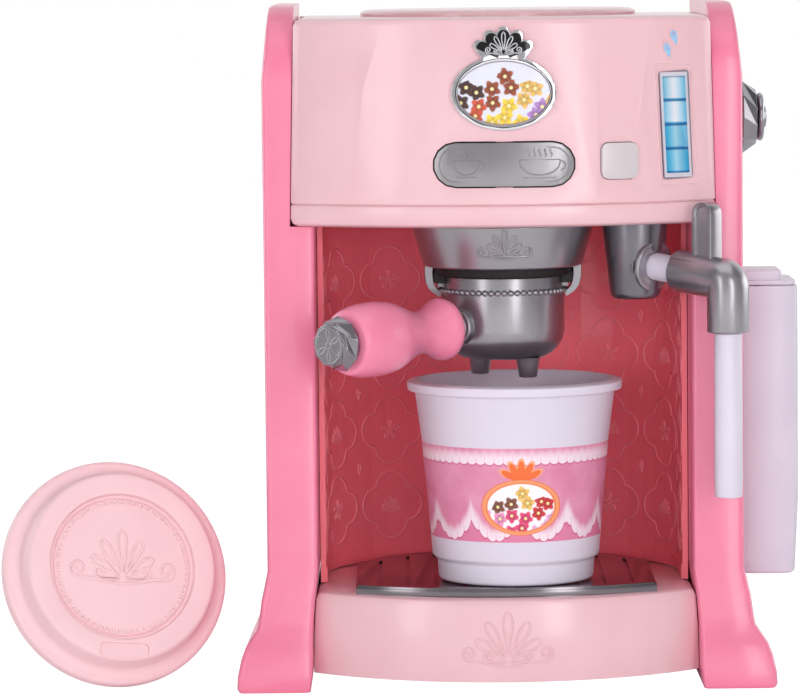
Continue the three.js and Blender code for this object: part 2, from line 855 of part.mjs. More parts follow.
// Water gauge: a framed label with four cells, set in a shallow pocket.
function waterGauge() {
  const plate = uprightPrism(
    roundedRectangle([-gaugeWidth / 2, gaugeWidth / 2], [-gaugeHeight / 2, gaugeHeight / 2], panelCorner / 2),
    gaugeRecess - gap - gaugeDepth,
    gaugeRecess - gap,
  );
  const pitch = (gaugeHeight - 2 * gaugeBorder) / gaugeCellCount;
  const cells = Array.from({ length: gaugeCellCount }, (_, i) => {
    const low = -gaugeHeight / 2 + gaugeBorder + pitch * i + gaugeCellRise / 2;
    return block(
      [-gaugeCellWidth / 2, gaugeCellWidth / 2],
      [gaugeRecess - gap - gaugeDepth - gaugeCellRise, gaugeRecess - gap - gaugeDepth / 2],
      [low, low + pitch - gaugeCellRise],
    );
  });
  return onBow(join(plate, ...cells), gaugePlace, gaugeCentre, gaugeTurn, gaugeLean);
}

piece('water_gauge', waterGauge(), finish(0x9fc8e6, 0.3, 0));

// Rocker: a pill on the bow that turns about an upright pin, with two plungers for the keypad.
const keypadFace = boardPlace - gap - keypadThickness;
const domeTip = keypadFace - domeHeight;
const plungerEnd = domeTip - plungerClearance;

function brewRocker() {
  const face = common(
    uprightPrism(pill(rockerWidth, rockerHeight, rockerCentre), 2 * headApex, 0),
    bowLayer(-rockerDepth, rockerProud, rockerCentre, 2 * rockerHeight),
  );
  const hubEnds = [rockerCentre - rockerHeight / 2 + gap, rockerCentre + rockerHeight / 2 - gap];
  const hub = join(
    rod(rockerHubRadius, ...hubEnds, smallSteps).translate(0, rockerPivotPlace, 0),
    block([-rockerHubRadius / 2, rockerHubRadius / 2], [headApex + wall, rockerPivotPlace], hubEnds),
  );
  const plungers = [-1, 1].map((side) => (
    rod(rockerPlungerRadius, headApex + rockerDepth, plungerEnd).rotateX(-Math.PI / 2)
      .translate(side * rockerPlungerPlace, 0, rockerCentre)
  ));
  const bore = rod(rockerPinRadius + gap, rockerCentre - rockerHeight, rockerCentre + rockerHeight)
    .translate(0, rockerPivotPlace, 0);
  return cut(join(face, hub, ...plungers), bore);
}

piece('brew_rocker', brewRocker(), finish(0xb4b2b6, 0.32, 0.8));
const pinEnds = [rockerCentre - rockerPinLength / 2, rockerCentre + rockerPinLength / 2];
const pin = rod(rockerPinRadius, ...pinEnds).translate(0, rockerPivotPlace, 0);
piece('rocker_pin', pin, finish(0xb9bcc0, 0.3, 1));

// Square push button with a flange behind the wall and a stem for the keypad.
function functionButton() {
  const square = (grow) => roundedRectangle(
    [-buttonWidth / 2 - grow, buttonWidth / 2 + grow],
    [-buttonHeight / 2 - grow, buttonHeight / 2 + grow],
    buttonCorner,
  );
  const back = wall + 2 * buttonFlange + buttonProud;
  return onBow(join(
    uprightPrism(square(0), -buttonProud, back),
    uprightPrism(square(buttonFlange), back - buttonFlange, back),
    rod(buttonStemRadius, wall, back + buttonStemLength - buttonFlange * 2).rotateX(-Math.PI / 2),
  ), buttonPlace, buttonCentre, buttonTurn);
}

piece('function_button', functionButton(), finish(0xdedbe2, 0.3, 0.1));

// Circuit board on the housing's posts, with a sheet of rubber domes between it and the buttons.
piece('circuit_board', block(
  [-boardHalfWidth, boardHalfWidth],
  [boardPlace, boardPlace + boardThickness],
  [boardBottom, boardTop],
), finish(0x2f7d4a, 0.6, 0));
const stemReach = wall + buttonProud + buttonStemLength;
const domePlaces = [
  [-rockerPlungerPlace, rockerCentre],
  [rockerPlungerPlace, rockerCentre],
  [buttonPlace - stemReach * Math.sin(buttonTurn), buttonCentre],
];

function keypad() {
  const sheet = block(
    [-keypadHalfWidth, keypadHalfWidth],
    [keypadFace, keypadFace + keypadThickness],
    [rockerCentre - keypadHeight / 2, rockerCentre + keypadHeight / 2],
  );
  const domes = domePlaces.map(([x, z]) => turned([
    [0, -keypadThickness / 2],
    [domeRadius, -keypadThickness / 2],
    [domeRadius * 0.7, domeHeight * 0.8],
    [domeRadius * 0.5, domeHeight],
    [0, domeHeight],
  ], smallSteps).rotateX(Math.PI / 2).translate(x, keypadFace, z));
  return join(sheet, ...domes);
}

piece('keypad', keypad(), finish(0xd9d9d4, 0.8, 0));

// Loudspeaker behind the rear cover's holes.
piece('speaker', turned([
  [0, 0],
  [speakerRadius * 0.5, 0],
  [speakerRadius * 0.5, speakerDepth * 0.5],
  [speakerRadius, speakerDepth * 0.8],
  [speakerRadius, speakerDepth],
  [speakerRadius * 0.85, speakerDepth],
  [0, speakerDepth * 0.7],
]).rotateX(-Math.PI / 2).translate(0, shellRear - speakerDepth, speakerCentre), finish(0x303034, 0.5, 0.4));

// Rear cover between the panels, with the speaker's holes and four screws.
function rearCover() {
  const plate = join(
    block([-insideHalf, insideHalf], coverPlace, [baseBottom + gap, headTop - gap]),
    block([-headHalfTop, headHalfTop], coverPlace, [headBottom, headTop - gap]),
  );
  const holes = Array.from({ length: grilleCount }, (_, i) => {
    const reach = grilleSpacing * Math.sqrt(i);
    const angle = goldenAngle * i;
    return rod(grilleHoleRadius, coverPlace[0] - overrun, coverPlace[1] + overrun, grilleSides)
      .rotateX(-Math.PI / 2)
      .translate(reach * Math.cos(angle), 0, speakerCentre + reach * Math.sin(angle));
  });
  return cut(plate, ...holes, ...rearScrewPlaces.map(([x, z]) => screwHole(x, z)));
}

piece('rear_cover', rearCover(), finish(...headPink));

// A pan-head screw that points along +Z, its head's seat at zero.
function screw(length) {
  return turned([
    [0, -screwHeadHeight],
    [screwHeadRadius * 0.7, -screwHeadHeight],
    [screwHeadRadius, 0],
    [screwRadius, 0],
    [screwRadius, length - screwRadius],
    [0, length],
  ], screwSteps);
}

const steel = [0xb4b6ba, 0.35, 1];
rearScrewPlaces.forEach(([x, z], i) => {
  const placed = screw(screwLength).rotateX(Math.PI / 2).translate(x, panelDepth + gap, z);
  piece(`rear_screw_${i + 1}`, placed, finish(...steel));
});

// Base: a bow-fronted shell open below, whose sides follow the panels' feet.
function baseHalf(height) {
  return footInside(height) - gap;
}

function baseCircle(height) {
  return bowCircle(baseHalf(height), baseCorner, baseApex);
}

function baseRing(height, inset, rear) {
  const half = baseHalf(height) - inset;
  return [
    ...bow(shrunk(baseCircle(height), inset), half),
    [half, rear],
    [-half, rear],
  ].map(([x, y]) => [x, y, height]);
}

const baseLevels = baseLevelShares.map((share) => share * footHeight);
const basePosts = [-1, 1].flatMap((side) => [
  [side * panelInside * basePostShare, basePostFront],
  [side * panelInside * basePostShare, panelDepth * basePostBackShare],
]);
const coverBottom = baseBottom + bottomCoverInset;
const coverTop = coverBottom + wall;

function baseShell() {
  const outer = [baseBottom, ...baseLevels].map((height) => baseRing(height, 0, shellRear));
  for (const share of [...roundLevelShares].reverse()) {
    const depth = edgeRound * share;
    outer.push(baseRing(baseTop - depth, roundInset(edgeRound, depth), shellRear));
  }
  const roof = baseTop - wall;
  const inner = [baseBottom - overrun, ...baseLevels, roof].map((height) => (
    baseRing(height, wall, shellRear - wall)
  ));
  const posts = basePosts.map(([x, y]) => (
    rod(postRadius, coverTop + gap, roof + wall / 2).translate(x, y, 0)
  ));
  const rearPosts = [-1, 1].map((side) => block(
    [insideHalf - wall - rearPostSize, footInside(baseTop / 2) - gap - wall / 2],
    [shellRear - rearPostSize - wall, shellRear - wall / 2],
    [(baseBottom + baseTop - rearPostSize) / 2, (baseBottom + baseTop + rearPostSize) / 2],
  ).scale(side, 1, 1));
  const shell = join(cut(loft(outer), loft(inner)), ...posts, ...rearPosts);
  const bores = basePosts.map(([x, y]) => (
    rod(screwRadius + gap, 0, coverTop + screwLength).translate(x, y, 0)
  ));
  const pegBores = pegHoles(basePegs, baseHalf);
  return cut(shell, ...bores, ...pegBores, ...rearScrewPlaces.slice(2).map(([x, z]) => screwHole(x, z)));
}

piece('base_shell', baseShell(), finish(...headPink));

// Drip tray: a dark metallised plate with shallow slots, bowed in front and round behind.
function trayOutline(inset) {
  const front = shrunk(bowCircle(trayHalf, trayCorner, trayApex), inset);
  const turn = 2 * (traySideEnd + edgeRound);
  const rear = bowCircle(trayHalf - edgeRound, traySideEnd + edgeRound, turn - trayBack);
  const back = bow(shrunk(rear, inset), trayHalf - edgeRound - inset, smallSteps);
  return [
    ...bow(front, trayHalf - inset, smallSteps),
    [trayHalf - inset, traySideEnd],
    ...back.map(([x, y]) => [-x, turn - y]),
    [-trayHalf + inset, traySideEnd],
  ];
}

function dripTray() {
  const slots = Array.from({ length: traySlotCount }, (_, i) => {
    const across = (i - (traySlotCount - 1) / 2) * traySlotPitch;
    return [[across - traySlotWidth / 2, across + traySlotWidth / 2], [2 * trayApex, 2 * trayBack]];
  });
  const slotted = slots.map(([x, y]) => common(
    block(x, y, [trayTop - traySlotDepth, trayTop + overrun]),
    prism(trayOutline(trayRim), trayTop - 2 * traySlotDepth, trayTop + 2 * overrun),
  ));
  return cut(
    join(
      prism(trayOutline(0), trayBottom, trayTop - trayEdge),
      prism(trayOutline(trayEdge), trayBottom, trayTop),
    ),
    ...slotted,
  );
}

piece('drip_tray', dripTray(), finish(0x6a5a60, 0.18, 0.9));

// Curved wall behind the cup: straight sides, round corners and a flatter back, with a skirting.
function alcoveOutline(inset) {
  const half = insideHalf - inset;
  const corner = alcoveCornerRadius - inset;
  const across = half - corner;
  const backCentre = alcoveApex - alcoveBackRadius;
  const between = alcoveBackRadius - alcoveCornerRadius;
  const cornerPlace = backCentre + Math.sqrt(between * between - across * across);
  const sweep = THREE.MathUtils.radToDeg(Math.asin(across / between));
  return [
    [half, panelDepth * alcoveFrontShare],
    ...arc(across, cornerPlace, corner, 0, 90 - sweep, arcSteps),
    ...arc(0, backCentre, alcoveBackRadius - inset, 90 - sweep, 90 + sweep, arcSteps).slice(1, -1),
    ...arc(-across, cornerPlace, corner, 90 + sweep, 180, arcSteps),
    [-half, panelDepth * alcoveFrontShare],
  ];
}

function alcoveWall() {
  const [low, high] = [baseTop + gap, headBottom - gap];
  const ring = (inset) => [...alcoveOutline(0), ...alcoveOutline(inset).reverse()];
  return join(
    prism(ring(wall), low, high),
    prism(ring(wall + skirtingDepth), low, low + skirtingHeight),
  );
}

piece('alcove_wall', alcoveWall(), finish(0xe0a0aa, 0.45, 0));

// Bottom cover with the battery compartment moulded in, and the door under the batteries.
const batteryPitch = 2 * batteryRadius + gap;
const compartmentHalf = batteryLength / 2 + contactReach + contactThickness + gap;
const compartmentDepth = batteryCount * batteryPitch / 2 + gap;
const batteryHeight = coverTop + gap + batteryRadius;
const compartmentRoof = batteryHeight + batteryRadius + gap;
const compartmentY = [batteryRowCentre - compartmentDepth, batteryRowCentre + compartmentDepth];
const doorY = [compartmentY[0] - doorMargin, compartmentY[1] + doorMargin / 2];

function bottomCover() {
  const inset = wall + gap;
  const plate = loft([coverBottom, coverTop].map((height) => baseRing(height, inset, shellRear - inset)));
  const box = block(
    [-compartmentHalf - compartmentWall, compartmentHalf + compartmentWall],
    [compartmentY[0] - compartmentWall, compartmentY[1] + compartmentWall],
    [coverBottom, compartmentRoof + compartmentWall],
  );
  const cavity = block(
    [-compartmentHalf, compartmentHalf],
    compartmentY,
    [coverBottom - overrun, compartmentRoof],
  );
  const doorway = block(
    [-compartmentHalf - gap, compartmentHalf + gap],
    [doorY[0] - gap, doorY[1] + gap],
    [coverBottom - overrun, coverTop - wall / 2],
  );
  const holes = basePosts.map(([x, y]) => rod(screwRadius + gap, 0, coverTop + overrun).translate(x, y, 0));
  const doorHole = rod(screwRadius + gap, 0, coverTop + overrun).translate(0, doorScrewPlace, 0);
  return cut(join(plate, box), cavity, doorway, ...holes, doorHole);
}

const doorScrewPlace = doorY[0] + doorMargin / 2;
piece('base_bottom_cover', bottomCover(), finish(0xf2cdd2, 0.5, 0));
piece('battery_door', cut(
  block([-compartmentHalf, compartmentHalf], doorY, [coverBottom - gap, coverTop - wall / 2 - gap]),
  rod(screwRadius + gap, 0, coverTop).translate(0, doorScrewPlace, 0),
), finish(0xf2cdd2, 0.5, 0));
const doorScrew = screw(screwLength / 2).translate(0, doorScrewPlace, coverBottom - 2 * gap);
piece('battery_door_screw', doorScrew, finish(...steel));
basePosts.forEach(([x, y], i) => {
  piece(`base_screw_${i + 1}`, screw(screwLength).translate(x, y, coverBottom - gap), finish(...steel));
});

// Cells laid side by side, turned in alternate directions.
const batteryRows = Array.from({ length: batteryCount }, (_, i) => (
  { place: batteryRowCentre + (i - (batteryCount - 1) / 2) * batteryPitch, side: i % 2 === 0 ? 1 : -1 }
));
batteryRows.forEach(({ place, side }, i) => {
  const cell = turned([
    [0, -batteryLength / 2],
    [batteryRadius, -batteryLength / 2],
    [batteryRadius, batteryLength / 2 - batteryNubLength],
    [batteryNubRadius, batteryLength / 2 - batteryNubLength],
    [batteryNubRadius, batteryLength / 2],
    [0, batteryLength / 2],
  ], smallSteps).rotateY(side * Math.PI / 2).translate(0, place, batteryHeight);
  piece(`battery_${i + 1}`, cell, finish(0x4a6f9a, 0.4, 0.3));
});

// A contact coil that narrows from its plate towards the cell, along +Z.
class ContactCoil extends THREE.Curve {
  getPoint(t, target = new THREE.Vector3()) {
    const angle = 2 * Math.PI * contactTurns * t;
    const radius = batteryRadius * (0.62 - 0.24 * t);
    return target.set(radius * Math.cos(angle), radius * Math.sin(angle), (contactReach - contactWire) * t);
  }
}

function contactCoil() {
  const points = arc(0, 0, contactWire, 0, 270, 3).map(([x, y]) => new THREE.Vector2(x, y));
  const settings = { steps: 13, bevelEnabled: false, extrudePath: new ContactCoil() };
  return new THREE.ExtrudeGeometry(new THREE.Shape(points), settings);
}

function batteryContact(end) {
  const plateX = [compartmentHalf - gap - contactThickness, compartmentHalf - gap];
  const depth = compartmentDepth - gap;
  const plate = block(
    plateX,
    [batteryRowCentre - depth, batteryRowCentre + depth],
    [batteryHeight - batteryRadius, batteryHeight + batteryRadius],
  );
  const touches = batteryRows.map(({ place, side }) => (
    side === end
      ? rod(batteryNubRadius, 0, contactReach - gap)
      : contactCoil()
  ).rotateY(-Math.PI / 2).translate(plateX[0] + contactThickness / 2, place, batteryHeight));
  return geometryOf(solid(join(plate, ...touches).scale(end, 1, 1)));
}

piece('battery_contact_left', batteryContact(-1), finish(...steel));
piece('battery_contact_right', batteryContact(1), finish(...steel));

// Group head: a cone under the head with two hanging hooks, and a dark sealing ring in its bore.
function groupHead() {
  const boreTop = groupBottom + groupBoreDepth;
  const cone = turned([
    [0, groupTop],
    [groupTopRadius, groupTop],
    [groupBottomRadius, groupBottom + gap],
    [groupBottomRadius - edgeRound / 3, groupBottom - edgeRound / 3],
    [groupBoreRadius, groupBottom - edgeRound / 3],
    [groupBoreRadius, boreTop],
    [0, boreTop],
  ], fineSteps);
  const outer = groupBottomRadius - edgeRound / 3;
  const inner = groupBoreRadius;
  const hookBottom = groupBottom - earReach;
  const tip = inner - earHook;
  const hookRound = outer - tip;
  const ears = common(
    turned([
      [inner, groupBottom],
      ...arc(tip, hookBottom + hookRound, inner - tip, 0, -90, cornerSteps),
      ...arc(tip, hookBottom + hookRound, hookRound, -90, 0, cornerSteps + 1),
      [outer, groupBottom],
      [inner, groupBottom],
    ], fineSteps),
    join(...[[inner - 2 * earHook, 2 * outer], [-2 * outer, -inner + 2 * earHook]].map((across) => (
      block(across, [-earHalfWidth, earHalfWidth], [hookBottom - overrun, groupTop])
    ))),
  );
  const spigot = rod(groupSpigotRadius, groupTop - overrun, headBottom + wall + gap, roundSteps);
  return join(cone, ears, spigot).translate(0, groupPlace, 0);
}

piece('group_head', groupHead(), finish(0x85828a, 0.35, 0.7));
const gasketTop = groupBottom + groupBoreDepth - gap;
piece('group_gasket', tube(
  groupBoreRadius - gap - gasketWidth,
  groupBoreRadius - gap,
  basketTop + gap,
  gasketTop,
  fineSteps,
).translate(0, groupPlace, 0), finish(0x2a2422, 0.6, 0));

// Portafilter: a beaded basket with two lugs that ride in the hooks, twin spouts below, and a turned handle.
const portafilter = new THREE.Group();
portafilter.position.set(0, groupPlace, 0);
machine.add(portafilter);

function basket() {
  const roundCentre = basketBottom + basketRound;
  const corner = arc(basketRadius - basketRound, roundCentre, basketRound, -90, 0, 4);
  const innerRound = basketRound - basketWall;
  const innerCorner = arc(basketRadius - basketRound, roundCentre, innerRound, 0, -90, 3);
  const shell = turned([
    [0, basketBottom],
    ...corner,
    [basketRadius, basketTop],
    [basketRadius - basketWall, basketTop],
    ...innerCorner,
    [0, basketBottom + basketWall],
  ], fineSteps);
  const beads = Array.from({ length: beadCount }, (_, i) => {
    const angle = 2 * Math.PI * i / beadCount;
    return new THREE.OctahedronGeometry(beadRadius).rotateZ(angle)
      .translate(basketRadius * Math.cos(angle), basketRadius * Math.sin(angle), beadPlace);
  });
  const lugLow = groupBottom - earReach + earThickness + 3 * gap;
  const lugs = common(
    tube(basketRadius - basketWall / 2, basketRadius + lugReach, lugLow, lugLow + lugHeight, fineSteps),
    block(
      [-2 * basketRadius, 2 * basketRadius],
      [-lugHalfWidth, lugHalfWidth],
      [lugLow - overrun, lugLow + lugHeight + overrun],
    ),
  );
  return join(shell, ...beads, lugs);
}

const silver = [0x8f8c92, 0.28, 0.85];
const pearl = [0xdcd6e6, 0.35, 0];
piece('portafilter_basket', basket(), finish(...silver), portafilter);

function spouts() {
  const top = basketBottom - gap;
  const pipeCentre = spoutBottom + spoutPipeRadius + gap;
  const nozzle = (side) => turned([
    [0, spoutBottom],
    [spoutTipRadius, spoutBottom],
    [spoutTopRadius, top - edgeRound / 3],
    [spoutTopRadius - edgeRound / 3, top],
    [0, top],
  ], smallSteps).translate(side * spoutSpread, 0, 0);
  const bar = rod(spoutPipeRadius, -spoutSpread, spoutSpread).rotateY(Math.PI / 2)
    .scale(1, 1, (top - spoutBottom) / 2 / spoutPipeRadius * 0.9).translate(0, 0, (top + spoutBottom) / 2);
  const stem = rod(spoutPipeRadius, pipeCentre, top);
  const bores = [-1, 1].map((side) => (
    rod(spoutBoreRadius, spoutBottom - overrun, pipeCentre).translate(side * spoutSpread, 0, 0)
  ));
  return cut(join(bar, stem, nozzle(-1), nozzle(1)), ...bores)
    .rotateZ(THREE.MathUtils.degToRad(handleAngle - 90));
}

piece('portafilter_spouts', spouts(), finish(...silver), portafilter);

// The handle's own group: +X runs out along the handle.
const handle = new THREE.Group();
handle.position.set(0, 0, basketBottom + handleRise);
handle.rotation.set(0, THREE.MathUtils.degToRad(handleDroop), THREE.MathUtils.degToRad(handleAngle), 'ZYX');
portafilter.add(handle);

piece('portafilter_collar', rod(collarRadius, basketRadius + gap, basketRadius + collarLength, roundSteps)
  .rotateY(Math.PI / 2), finish(...silver), handle);
piece('portafilter_handle', turned(handleShares.map(([along, across]) => (
  [across * handleRadius, handleStart + gap + along * handleLength]
)), roundSteps).rotateY(Math.PI / 2), finish(0xf08ca8, 0.3, 0), handle);

// Rings of a gem: each turned half a side from the last, which splits its sides into triangles.
function gem(levels, sides) {
  return loft(levels.map(([radius, height], level) => Array.from({ length: sides }, (_, i) => {
    const angle = 2 * Math.PI * (i + level / 2) / sides;
    return [radius * Math.cos(angle), radius * Math.sin(angle), height];
  })));
}

const capStart = handleStart + handleLength + 2 * gap;
piece('handle_cap', gem([
  [capRadius * 0.8, capStart],
  [capRadius, capStart + capLength * 0.35],
  [capRadius * 0.82, capStart + capLength * 0.8],
  [capRadius * 0.74, capStart + capLength],
], capSides).rotateY(Math.PI / 2), finish(0xa5a3a8, 0.2, 0.9), handle);

// Steam pipe: a tapered post under the head with a socket, and an elbow that turns in the socket.
const steam = new THREE.Group();
steam.position.set(steamPlace, steamDepth, steamAxis);
steam.rotation.z = THREE.MathUtils.degToRad(steamAngle);
machine.add(steam);

const leant = (geometry) => geometry.rotateY(Math.PI / 2 + THREE.MathUtils.degToRad(steamDroop));
const steamCorner = -steamReach * Math.tan(THREE.MathUtils.degToRad(steamDroop));

function steamPost() {
  const top = groupTop - steamAxis;
  const bottom = steamPostBottom - steamAxis;
  const post = turned([
    [0, top],
    [steamPostTop, top],
    [steamPostTip, bottom + edgeRound],
    [steamPostTip - edgeRound * 0.3, bottom + edgeRound * 0.3],
    [steamPostTip - edgeRound, bottom],
    [0, bottom],
  ]);
  const spigot = rod(steamPipeRadius, top - overrun, top + 2 * gap + wall);
  const socket = leant(rod(steamSocketRadius, 0, steamSocketReach, roundSteps));
  const faceEnds = [steamSocketReach, steamSocketReach + steamPostTop];
  const boreEnds = [steamSocketReach / 3, steamSocketReach + overrun];
  const face = leant(rod(steamSocketRadius + gap, ...faceEnds, roundSteps));
  const bore = leant(rod(steamPipeRadius + gap, ...boreEnds, roundSteps));
  return cut(join(post, spigot, socket), face, bore);
}

piece('steam_post', steamPost(), finish(0x85828a, 0.35, 0.7), steam);
piece('steam_ring', leant(tube(
  steamPipeRadius + gap,
  steamSocketRadius,
  steamSocketReach + gap,
  steamSocketReach + gap + steamRingLength,
)), finish(...silver), steam);

piece('steam_pipe', leant(rod(
  steamPipeRadius,
  steamSocketReach / 3 + gap,
  steamElbowStart + steamPipeSeat,
  roundSteps,
)), finish(...pearl), steam);

function steamElbow() {
  const along = leant(rod(steamElbowRadius, steamElbowStart, steamReach, roundSteps));
  const corner = new THREE.SphereGeometry(steamElbowRadius, roundSteps, arcSteps).rotateX(Math.PI / 2)
    .translate(steamReach, 0, steamCorner);
  const down = rod(steamElbowRadius, -steamElbowDrop, steamCorner, roundSteps).translate(steamReach, 0, 0);
  const paddle = (width, top, thickness) => uprightPrism([
    [steamLeverPlace - width / 2, 0],
    [steamLeverPlace + width / 2, 0],
    ...arc(steamLeverPlace, top - width / 2, width / 2, 0, 180, smallSteps),
  ], -thickness / 2, thickness / 2);
  const lever = paddle(steamLeverWidth, steamLeverRise, steamLeverRib);
  const cheeks = paddle(
    steamLeverWidth - steamLeverEdge,
    steamLeverRise - steamLeverEdge,
    steamLeverThickness,
  );
  const pipeSeat = leant(rod(steamPipeRadius + gap, 0, steamElbowStart + steamPipeSeat + gap, roundSteps));
  const socketEnds = [-steamElbowDrop - overrun, -steamElbowDrop + wandSpigotLength + gap];
  const socket = rod(wandSpigotRadius + gap, ...socketEnds).translate(steamReach, 0, 0);
  return cut(join(along, corner, down, lever, cheeks), socket, pipeSeat);
}

piece('steam_elbow', steamElbow(), finish(...silver), steam);

const wandTop = -steamElbowDrop - gap;
const wandTip = wandBottom - steamAxis;
piece('steam_wand', turned([
  [0, wandTip],
  [steamPipeRadius * 0.55, wandTip],
  [steamPipeRadius * 0.9, wandTip + steamPipeRadius * 0.35],
  [steamPipeRadius, wandTip + steamPipeRadius * 0.8],
  [steamPipeRadius, wandTop],
  [wandSpigotRadius, wandTop],
  [wandSpigotRadius, wandTop + wandSpigotLength],
  [0, wandTop + wandSpigotLength],
]).translate(steamReach, 0, 0), finish(...pearl), steam);

// Knob: a faceted gem on a shaft through the panel, a ring cap on its face and a clip inside the panel.
const knob = new THREE.Group();
knob.position.set(panelOutside + gap, knobPlace, knobCentre);
knob.rotation.y = Math.PI / 2;
machine.add(knob);

const clipPlace = -2 * gap - wall - retainerThickness;
piece('knob_body', join(
  gem([
    [knobRadius * 0.96, 0],
    [knobRadius, knobBand],
    [knobFaceRadius, knobFaceHeight],
  ], knobSides),
  rod(knobShaftRadius, clipPlace - gap, overrun),
), finish(0x8a878d, 0.25, 0.85), knob);
piece('knob_ring', turned([
  [0, 0],
  [knobRingRadius * 0.92, 0],
  [knobRingRadius, knobRingLength * 0.3],
  [knobRingRadius, knobRingLength * 0.7],
  [knobRingRadius * 0.9, knobRingLength],
  [knobRingRadius * 0.5, knobRingLength],
  [knobRingRadius * 0.42, knobRingLength + knobDomeHeight * 0.6],
  [0, knobRingLength + knobDomeHeight],
]).translate(0, 0, knobFaceHeight + gap), finish(0xc9c7cc, 0.15, 0.95), knob);
piece('knob_retainer', tube(
  knobShaftRadius + gap,
  retainerRadius,
  clipPlace,
  clipPlace + retainerThickness,
  smallSteps,
), finish(...steel), knob);

// Water tank: an open-topped box that slides down over a T-rail on the panel, with a plugged lid.
const tankInner = panelOutside + gap;
const tankOuter = tankInner + tankThickness;
const tankY = [tankPlace - tankLength / 2, tankPlace + tankLength / 2];

function tankRing(height, inset, backInset) {
  const share = Math.max(0, 1 - (height - tankBottom) / tankTaperHeight);
  return roundedRectangle(
    [tankInner + footFlare * footShare(height, 1) + backInset, tankOuter - tankTaper * share - inset],
    [tankY[0] + inset, tankY[1] - inset],
    tankCorner - inset,
  ).map(([x, y]) => [x, y, height]);
}

function railSection(room, from) {
  const neckEnd = tankInner + railNeckDepth - room;
  const headEnd = tankInner + railNeckDepth + railHeadDepth + room;
  return [
    [from, tankPlace - railNeck - room],
    [neckEnd, tankPlace - railNeck - room],
    [neckEnd, tankPlace - railHead - room],
    [headEnd, tankPlace - railHead - room],
    [headEnd, tankPlace + railHead + room],
    [neckEnd, tankPlace + railHead + room],
    [neckEnd, tankPlace + railNeck + room],
    [from, tankPlace + railNeck + room],
  ];
}

function tankBody() {
  const bend = tankBottom + tankTaperHeight;
  const outer = loft([
    tankRing(tankBottom, edgeRound / 3, edgeRound / 3),
    tankRing(tankBottom + edgeRound / 3, 0, 0),
    tankRing(footHeight, 0, 0),
    tankRing(bend, 0, 0),
    tankRing(tankTop, 0, 0),
  ]);
  const inner = loft([
    tankRing(tankBottom + tankWall, tankWall, tankBackWall),
    tankRing(footHeight, tankWall, tankBackWall),
    tankRing(bend, tankWall, tankBackWall),
    tankRing(tankTop + overrun, tankWall, tankBackWall),
  ]);
  const railRoom = prism(railSection(gap, tankInner - overrun), tankBottom - overrun, railTop + gap);
  return cut(outer, inner, railRoom);
}

piece('tank_body', tankBody(), finish(...pearl));
piece('tank_rail', prism(railSection(0, tankInner), railBottom, railTop), finish(...panelPink));

function tankLid() {
  const lidX = [tankInner, tankOuter - tankLidInset];
  const top = roundedRectangle(lidX, [tankY[0] + edgeRound, tankY[1] - edgeRound], tankCorner - edgeRound);
  const skin = roundedRectangle(
    [tankInner + edgeRound / 3, tankOuter - edgeRound / 3],
    [tankY[0] + edgeRound / 3, tankY[1] - edgeRound / 3],
    tankCorner - edgeRound / 3,
  );
  const plug = roundedRectangle(
    [tankInner + tankBackWall + gap, tankOuter - tankWall - gap],
    [tankY[0] + tankWall + gap, tankY[1] - tankWall - gap],
    tankCorner - tankWall - gap,
  );
  const seat = tankTop + gap;
  return join(
    prism(skin, seat, seat + tankLidRise / 3),
    prism(top, seat, seat + tankLidRise),
    prism(plug, seat - tankLidPlug, seat + tankLidRise / 4),
  );
}

piece('tank_lid', tankLid(), finish(...pearl));

// Takeaway cup: tapered, stepped in above its base, with a rolled rim.
function cupProfile() {
  const stepTop = cupStepHeight + cupStep;
  const sideTop = cupHeight - cupRimHeight;
  const side = cupSideShares.map(([along, across]) => (
    [across * cupNeckRadius, stepTop + along * (sideTop - stepTop)]
  ));
  const inside = [side[0]].map(([radius, height]) => [radius - cupWall, height]);
  const roll = cupRimRadius - cupNeckRadius;
  return [
    [0, 0],
    [cupBaseRadius - cupStep / 2, 0],
    [cupBaseRadius, cupStep / 2],
    [cupBaseRadius + cupStep / 3, cupStepHeight],
    ...side,
    [cupRimRadius - roll / 4, sideTop],
    [cupRimRadius, sideTop + cupRimHeight * 0.25],
    [cupRimRadius, sideTop + cupRimHeight * 0.6],
    [cupRimRadius - roll * 0.3, cupHeight],
    [cupNeckRadius, cupHeight],
    [cupNeckRadius - cupWall, cupHeight - cupRimHeight / 3],
    ...inside,
    [cupBaseRadius - cupStep, cupWall],
    [0, cupWall],
  ];
}

const cup = turned(cupProfile(), fineSteps).translate(cupAcross, groupPlace, trayTop + gap);
piece('cup_body', cup, finish(...pearl));

// Lid: stands on the edge of its rim, leant back and turned a little.
function cupLidGeometry() {
  const shoulder = lidHeight * 0.36;
  const body = turned([
    [0, lidHeight - lidGroove - lidWall],
    [lidRingRadius, lidHeight - lidGroove - lidWall],
    [lidRingRadius + lidGroove, lidHeight - lidWall],
    [lidPlateauRadius - lidWall, lidHeight - lidWall],
    [lidPlateauRadius - lidWall, shoulder],
    [lidRadius - 2 * lidWall, shoulder - lidWall],
    [lidRadius - 2 * lidWall, 0],
    [lidRadius, 0],
    [lidRadius, shoulder * 0.6],
    [lidRadius - lidWall, shoulder],
    [lidPlateauRadius + lidWall, shoulder],
    [lidPlateauRadius, lidHeight - lidWall],
    [lidPlateauRadius - lidWall, lidHeight],
    [lidRingRadius + lidGroove, lidHeight],
    [lidRingRadius, lidHeight - lidGroove],
    [0, lidHeight - lidGroove],
  ], fineSteps);
  const sip = prism(
    pill(lidSipWidth, lidSipHeight, -lidSipPlace),
    lidHeight - lidWall / 2,
    lidHeight + overrun,
  );
  return cut(body, sip);
}

